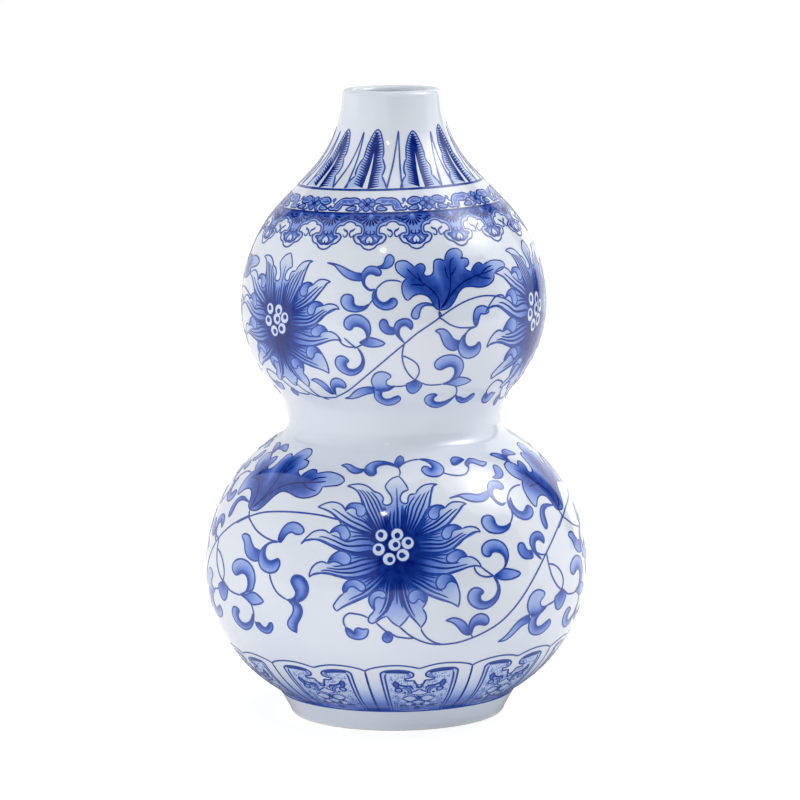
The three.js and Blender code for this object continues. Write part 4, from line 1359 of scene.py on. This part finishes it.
skirt.filled(with_mirror(HEART_SPOT, LAPPET_MIDDLE), tone=0.05, width=0.34, ink=0.80, coat="hatch")
skirt.stroke(HEART_NOTCH, width=0.4, ink=0.85, coat="dot")
skirt.stroke(TREFOIL_STEM, width=(0.3, 0.5), ink=0.85)
for drop in both_sides(PALE_DROP, LAPPET_MIDDLE):
    skirt.stroke(drop, width=(0.3, 0.7, 0.5), ink=0.20, coat="white")
for lean in np.radians(np.linspace(-FAN_SPREAD, FAN_SPREAD, FAN_PETALS)):
    reach = np.array([FAN_WIDE * math.sin(lean), -FAN_HIGH * math.cos(lean)])
    skirt.ribbon(FAN_ROOT + np.outer(FAN_SHARES, reach), FAN_WIDTHS, ink=0.97, coat="hatch", tip=0.7)
skirt.disc(FAN_ROOT, radius=0.7, ink=0.40, coat="white", sides=12)
for x, y in ARCH_DABS:
    for dab in (x, 2 * LAPPET_MIDDLE - x):
        skirt.disc((dab, y), radius=0.6, ink=0.92, coat="hatch", sides=10)
for curl in ARCH_CURLS:
    skirt.stroke(curl, width=(0.6, 0.8, 0.44, 0.46, 0.46, 0.4), ink=0.74)
lay(skirt, "shoulder_lappet_painting", on_shoulder, 2 * math.pi / LAPPETS * np.arange(LAPPETS))

# %% [markdown]
# ## Panels above the foot
# Ten tall panels stand round the lower edge, each with a double arched top, a framed picture of clouds
# and leaves and a keyhole notch in the frame. Only half a panel is drawn and mirrored, as the pattern is
# symmetrical. Between the frames the white darkens into blue towards the foot.

# %% Lines of one panel, from its middle
PANELS, PANEL_MIDDLE = 10, math.radians(7.3)
PANEL_WIDTH = 2 * math.pi * PANEL_RADIUS / PANELS
PANEL_DIP, PANEL_LEAN, PANEL_TOP = 1.5, 0.065, 24.0
ARCH_HALF = "-15.7,24.05 -14.2,24.95 -11.6,25.75 -8.5,26.2 -5.5,26.15 -2.5,25.5 -0.8,24.85 0,24.65"
POST = "-15.7,24.1 -15.7,16 -15.7,8 -15.7,-0.5"
FRAME_HALF = """-11,-0.5 -11.1,8 -11.3,15 -11.4,22 -11.2,23 -10.6,23.6 -9.5,24 -7,24.15 -5,24 -3.2,23.5
 -2.1,22.7 -1.8,21.8 -2.1,21 -2.9,20.55 -3.8,20.4 -4.6,20.6 | -4.2,19.6 -3.3,19.2 -2.2,19.2 -1.6,19
 -1.4,18.2 -0.9,17.3 0,16.95"""
FRAME_INSIDE = "-9.9,-0.5 -10,8 -10.1,15 -10.2,21 -9.8,22.6"
FRAME_HEAD = "-10,23.2 -8.5,23.5 -6.5,23.5 -4.5,23.2 -3,22.7"
HEAD_EYE = (-3.2, 21.7)
LENS_LEAF = "-7.4,19.3 -8.1,17.9 -7.8,16.5 -6.9,15.5 | -6.5,16.6 -6.6,18 -7.4,19.3"
LEAF_STROKE = "-7.2,18.8 -6.5,17.7 -5.5,16.9 -4.2,16.5 -3,16.3 -2.3,15.6 -2,14.6"
COMMA = "-5.9,15.3 -4.8,15.5 -3.7,15 -3.1,14 -3.2,12.8 -4,11.9"
NOTCH_FOOT = "-1.2,17.2 -0.7,16.2 0,15.3"
RING_EYE = (-6.6, 14.5)
MOUNTAIN = "0,14.9 -0.6,14.2 -1.3,13.7 -2.4,13 -2.75,12.4 -1.8,11.7 0,11.35"
CLOUD = "-5.7,9.3 -4.6,10.2 -3.4,10.9 -1.9,10.7 -0.9,9.8 -0.9,8.6 -1.8,7.6 -3.2,7.3 -4.4,8 -5.7,9.3"
CLOUD_POOL, CLOUD_DEEP = (2.6, 0.28, 0.04), 4  # reach, strong and weak ink; where it pools
LOW_CLOUD = "0,7.9 -1.3,7.4 -2.4,6.4 -1.3,5.6 -0.6,5 0,4.6"
MARGIN = "15.7,22 15.7,-0.5 | 11,-0.5 | 11.1,8 | 11.4,22 | 15.7,22"
PALE_DABS = [((-6, 11.5), (1.0, 0.95)), ((-5.6, 7.4), (0.75, 0.6)), ((-3.4, 5.1), (0.95, 1.0))]
DARK_DABS = [((-5.8, 3.5), 1.15), ((-1.45, 4.3), 0.85), ((-4.1, 3.1), 0.75), ((-3.7, 6.7), 0.65),
             ((-4.7, 12.9), 0.5)]
MIDDLE_DABS = [((0, 9.4), (0.95, 1.5), 0.80, "curl"), ((0, 1.4), (1.5, 1.3), 0.84, "hatch")]
picture_tone = by_height((0, 3, 6, 10, 15, 22, 24), (0.56, 0.44, 0.30, 0.18, 0.11, 0.10, 0.3))
margin_tone = by_height((0, 3, 6, 9, 12, 16, 22), (0.78, 0.62, 0.44, 0.28, 0.16, 0.06, 0.0))
on_panels = around(PANEL_RADIUS, PANEL_DIP, PANEL_LEAN, PANEL_TOP)
print(PANELS, "panels,", round(PANEL_WIDTH, 1), "mm wide")

# %% Ground, dots and frame of a panel
TICKS, TICK_REACH, TICK_LEAN, TICK_INK = 820, 0.55, 0.25, 0.36
TICKS_FROM, TICKS_TO = (-9.3, 1), (9.3, 22)

panel = Artwork()
frame_runs = with_mirror(FRAME_HALF, 0)
panel.wash(frame_runs, picture_tone, "ground", grain=1.1)
scatter = np.random.default_rng(11)
picture = outline(frame_runs)
for x, y in scatter.uniform(TICKS_FROM, TICKS_TO, (TICKS, 2)):
    tick = np.array([(x, y), (x + TICK_LEAN * TICK_REACH, y + TICK_REACH)])
    if inside(tick, picture).all():
        panel.ribbon(tick, width=0.34, ink=picture_tone(tick)[0] + TICK_INK, coat="wash", tip=0.8)
for half in both_sides(FRAME_HALF, 0):
    panel.stroke(half[:1], width=0.62, ink=0.76)
    panel.stroke(half[1:], width=0.62, ink=0.78)
for inner, head in zip(both_sides(FRAME_INSIDE, 0), both_sides(FRAME_HEAD, 0)):
    panel.stroke(inner, width=0.66, ink=0.74)
    panel.stroke(head, width=(0.7, 1.2, 1.3, 1.0), ink=0.84, coat="hatch", tip=0.7)
for arch in both_sides(ARCH_HALF, 0):
    panel.stroke(arch, width=0.56, ink=0.72, tip=1)
panel.stroke(POST, width=(0.6, 0.8, 0.9), ink=(0.78, 0.9))
print("a panel's ground and frame take", len(panel.patches), "strokes and washes")

# %% Picture of a panel
for side in (-1, 1):
    panel.wash([run * (side, 1) for run in runs_of(MARGIN)], margin_tone, "ground", grain=1.2)
    panel.disc((side * HEAD_EYE[0], HEAD_EYE[1]), radius=0.75, ink=0.46, coat="wash", sides=12)
    panel.disc((side * RING_EYE[0], RING_EYE[1]), radius=1.35, ink=0.80, coat="line")
    panel.disc((side * RING_EYE[0], RING_EYE[1]), radius=0.75, ink=0.34, coat="white")
    for (x, y), size in PALE_DABS:
        panel.disc((side * x, y), size, ink=0.14, coat="curl", sides=12)
    for (x, y), size in DARK_DABS:
        panel.disc((side * x, y), size, ink=0.84, coat="hatch", sides=12)
drawn_twice = (LENS_LEAF, LEAF_STROKE, COMMA, NOTCH_FOOT, CLOUD)
for leaf, stroke, comma, foot, cloud in zip(*(both_sides(path, 0) for path in drawn_twice)):
    panel.filled(leaf, tone=0.62, width=0.5, ink=0.80)
    panel.stroke(stroke, width=(0.5, 0.8, 0.9, 0.7), ink=0.80)
    panel.stroke(comma, width=(0.6, 1.4, 1.5, 0.6), ink=0.80, coat="hatch")
    panel.stroke(comma, width=(0.1, 0.6, 0.6, 0.1), ink=0.46)
    panel.stroke(foot, width=(0.6, 1.1, 1.3), ink=0.78, coat="hatch")
    panel.filled(cloud, pooled([cloud[0][CLOUD_DEEP]], *CLOUD_POOL), width=0.5, ink=0.76)
panel.filled(with_mirror(MOUNTAIN, 0), tone=0.12, width=0.5, ink=0.76)
panel.filled(with_mirror(LOW_CLOUD, 0), tone=0.20, width=0.5, ink=0.76)
for centre, size, tone, coat in MIDDLE_DABS:
    panel.disc(centre, size, tone, coat, sides=12)
half_round = PANELS // 2
for number, first in ((1, 0), (2, half_round)):
    turns = PANEL_MIDDLE + PANEL_WIDTH / PANEL_RADIUS * np.arange(first, first + half_round)
    lay(panel, f"foot_panel_painting_{number}", on_panels, turns)

# %% [markdown]
# ## The studio
# The photograph is a catalogue picture: white all round, a tall soft light on the right, a pale card on
# the left, and a dark gap in front where the camera stands. A shiny vase is lit by what it mirrors, so
# the cards and lamps were placed by following each reflection back from the bulbs. The floor is white to
# the camera and keeps a little of the vase's shadow.

# %% Floor and air
AIR_LEVEL = 0.63
FLOOR_WHITE, FLOOR_BOUNCE = 0.85, 0.20  # as the vase is lit by it
FLOOR_SHADOW, FLOOR_GLOW = 0.30, 0.83  # as it is seen
FLOOR_HALF = 4.0


def mesh_piece(name, corners, faces, finish):
    """A stage piece from corners and faces."""
    mesh = bpy.data.meshes.new(name)
    mesh.from_pydata(corners, [], faces)
    mesh.materials.append(finish)
    made = bpy.data.objects.new(name, mesh)
    bpy.context.scene.collection.objects.link(made)
    return made


def seen_white(tree, dim, bright):
    """A strength that is bright to the camera, to mirrors and to glass, and dim to other rays."""
    path = tree.nodes.new("ShaderNodeLightPath")
    direct = shade_of(tree, "MAXIMUM", path.outputs["Is Camera Ray"], path.outputs["Is Glossy Ray"])
    direct = shade_of(tree, "MAXIMUM", direct, path.outputs["Is Transmission Ray"])
    return spread(tree, direct, dim, bright)


white_floor, tree, shader = new_material("white_studio_floor")
tree.links.new(seen_white(tree, FLOOR_WHITE, FLOOR_SHADOW), shader.inputs["Base Color"])
shader.inputs["Roughness"].default_value = 1.0
shader.inputs["Specular IOR Level"].default_value = 0
shader.inputs["Emission Color"].default_value = (1, 1, 1, 1)
tree.links.new(seen_white(tree, FLOOR_BOUNCE, FLOOR_GLOW), shader.inputs["Emission Strength"])
side = FLOOR_HALF
mesh_piece("studio_floor", [(-side, -side, 0), (side, -side, 0), (side, side, 0), (-side, side, 0)],
           [(0, 1, 2, 3)], white_floor)

air = bpy.data.worlds.new("studio_air")
air.use_nodes = True
air.node_tree.links.new(seen_white(air.node_tree, AIR_LEVEL, 1.0),
                        air.node_tree.nodes["Background"].inputs["Strength"])
air.node_tree.nodes["Background"].inputs["Color"].default_value = (1, 1, 1, 1)
bpy.context.scene.world = air
print("the floor is", 2 * FLOOR_HALF, "m wide, and the air lights the vase at", AIR_LEVEL)

# %% [markdown]
# ## Cards
# A glazed pot shows what stands round it as bright and dark shapes: here a dark front, a pale card on the
# left and two dark gaps. Real cards would also throw light or shade on the vase, so these are hidden from
# everything but the shine. Each is a curved wall of an even brightness. The lower edge of the left gap
# slants, as the lower bulb mirrors it.

# %% Cards that only the shine sees
CARD_RADIUS, CARD_TOP, CARD_STEPS = 0.9, 3.8, 24
SLANT_HEIGHT, SLANT, SLANT_PEAK = 0.08, 1.75, -61


def around_vase(azimuth, distance):
    """A place on the floor round the vase: azimuth 0 is the camera's side and 90 the right."""
    angle = math.radians(azimuth)
    return distance * math.sin(angle), -distance * math.cos(angle)


def on_floor(azimuth):
    """The lower edge of a card that stands on the floor."""
    return 0.0


def above_left_fill(azimuth):
    """The height of the left light's slanting upper edge, as the lower bulb mirrors it."""
    return SLANT_HEIGHT + SLANT * CARD_RADIUS * math.cos(math.radians(azimuth - SLANT_PEAK))


def glowing(name):
    """A finish that mirrors nothing and glows white, its nodes and the socket for its brightness."""
    finish, tree, shader = new_material(name)
    shader.inputs["Base Color"].default_value = (0, 0, 0, 1)
    shader.inputs["Specular IOR Level"].default_value = 0
    shader.inputs["Emission Color"].default_value = (1, 1, 1, 1)
    return finish, tree, shader.inputs["Emission Strength"]


def only_mirrored(card):
    """Hides a card from everything but the shine of the glaze."""
    card.visible_camera = card.visible_diffuse = False
    card.visible_shadow = card.visible_transmission = False
    return card


def reflected_card(name, start, end, level, lower_edge=on_floor):
    """A curved card between two azimuths, of an even brightness, that shows only in reflections."""
    finish, _, brightness = glowing(name + "_paper")
    brightness.default_value = level
    corners = [(*around_vase(azimuth, CARD_RADIUS), z)
               for azimuth in np.linspace(start, end, CARD_STEPS + 1)
               for z in (lower_edge(azimuth), CARD_TOP)]
    faces = [(2 * k, 2 * k + 2, 2 * k + 3, 2 * k + 1) for k in range(CARD_STEPS)]
    only_mirrored(mesh_piece(name, corners, faces, finish))
    print("card", name, "from", start, "to", end, "degrees")


reflected_card("dark_front", -11, 84, level=0.0)
reflected_card("pale_left_card", -80, -11, level=0.38)
reflected_card("dark_gap_left", -139, -84, level=0.0, lower_edge=above_left_fill)
reflected_card("dark_gap_right", 129, 140, level=0.1)

# %% [markdown]
# ## Lamps
# The main light of the photograph is a large softbox high on the right, with a weaker fill on the left and
# two small glints in front. A lamp that the glaze mirrors as it is would show as a hard white square, so
# the lamps that light the vase are hidden from the shine, and a round card that fades to its edge stands in
# for the softbox. Only the small round lamps of the glints are mirrored themselves.

# %% The softbox, and what the glaze shows of it
MIDDLE = Vector((0, 0, 0.11))
DISC_SIDES = 64


def aimed(piece, azimuth, height, distance):
    """Puts a lamp or card round the vase, at an azimuth and a height angle, facing it."""
    rise = math.radians(height)
    x, y = around_vase(azimuth, distance * math.cos(rise))
    piece.location = MIDDLE + Vector((x, y, distance * math.sin(rise)))
    piece.rotation_euler = (MIDDLE - piece.location).to_track_quat("-Z", "Y").to_euler()


def soft_lamp(name, azimuth, height, distance, size, power, glint=False):
    """A light that faces the vase: a soft rectangle, or a small round one that the glaze mirrors."""
    data = bpy.data.lights.new(name, "AREA")
    data.shape = "ELLIPSE" if glint else "RECTANGLE"
    data.size, data.size_y, data.energy = *size, power
    lamp = bpy.data.objects.new(name, data)
    aimed(lamp, azimuth, height, distance)
    lamp.visible_camera, lamp.visible_glossy = False, glint
    bpy.context.scene.collection.objects.link(lamp)


def mirrored_disc(name, radius, fade_from, fade_to, middle, edge):
    """A round card that only the glaze mirrors, of one brightness in its middle and another at its edge."""
    finish, tree, brightness = glowing(name + "_cloth")
    place = tree.nodes.new("ShaderNodeTexCoord")
    reach = tree.nodes.new("ShaderNodeVectorMath")
    reach.operation = "LENGTH"
    tree.links.new(place.outputs["Object"], reach.inputs[0])
    faded = spread(tree, reach.outputs["Value"], middle, edge)
    faded.node.interpolation_type = "SMOOTHSTEP"
    faded.node.inputs["From Min"].default_value = fade_from
    faded.node.inputs["From Max"].default_value = fade_to
    tree.links.new(faded, brightness)
    corners = [(*around_vase(a, radius), 0) for a in np.linspace(0, 360, DISC_SIDES, endpoint=False)]
    return only_mirrored(mesh_piece(name, corners, [list(range(DISC_SIDES))], finish))


soft_lamp("right_softbox", azimuth=101, height=40, distance=1.2, size=(0.34, 0.55), power=4.6)
soft_lamp("right_softbox_core", azimuth=102, height=45, distance=1.15, size=(0.12, 0.20), power=1.3)
softbox_face = mirrored_disc("right_softbox_face", radius=0.44, fade_from=0.02, fade_to=0.36,
                             middle=10.0, edge=1.9)
aimed(softbox_face, azimuth=93, height=47, distance=1.0)
print("the softbox is mirrored at", [round(c, 2) for c in softbox_face.location])

# %% Painted shadow under the belly, as the glaze mirrors it; the back of the studio, fill and glints
GLINT_AZIMUTH, GLINT_DISTANCE = -9.7, 0.75
GLINTS = [("glint_high", 48, 0.040, 0.15), ("glint_low", 24, 0.014, 0.007)]  # height, size, power
SHADOW_HEIGHT = 0.0006

# A painted shadow: a dark disc just above the floor that only the glaze mirrors, for the shade under the
# belly.
shadow = mirrored_disc("shadow_under_belly", radius=0.08, fade_from=0.045, fade_to=0.08,
                       middle=0.25, edge=0.95)
shadow.location = (0, 0, SHADOW_HEIGHT)
reflected_card("white_sweep_right", 141, 166, level=1.4)
reflected_card("grey_behind", 166, 194, level=0.70)
soft_lamp("left_fill", azimuth=-65, height=20, distance=1.2, size=(0.9, 1.2), power=4.6)
for name, height, size, power in GLINTS:
    soft_lamp(name, GLINT_AZIMUTH, height, GLINT_DISTANCE, (size, size), power, glint=True)

# %% [markdown]
# ## Camera
# The lens is long and looks slightly down. Its place, tilt and small roll were worked out from the
# outline of the vase in the photograph, so the two pictures can be laid over each other.

# %% The photograph's viewpoint
LENS, SENSOR = 185.07, 36.0
LOOK_DOWN, ROLL = math.radians(8.567), 0.009776
SHIFT_X, SHIFT_Y = 0.00666, 0.00063
CAMERA_AT = (0, -1.3325, 0.3034)

camera_data = bpy.data.cameras.new("catalogue_camera")
camera_data.sensor_width, camera_data.lens = SENSOR, LENS
camera_data.shift_x, camera_data.shift_y = SHIFT_X, SHIFT_Y
camera = bpy.data.objects.new("catalogue_camera", camera_data)
camera.location = CAMERA_AT
camera.rotation_euler = (Matrix.Rotation(math.pi / 2 - LOOK_DOWN, 3, "X")
                         @ Matrix.Rotation(-ROLL, 3, "Z")).to_euler()
bpy.context.scene.collection.objects.link(camera)
bpy.context.scene.camera = camera
print("camera at", [round(c, 4) for c in camera.location], "lens", LENS)

# %% [markdown]
# ## The picture's colours
# The glazed and painted vase keeps to the box of the CAD model, except that the paint lies a tenth of a
# millimetre proud of the clay at the belly.

# %% Colour view
bpy.context.scene.view_settings.view_transform = "Standard"
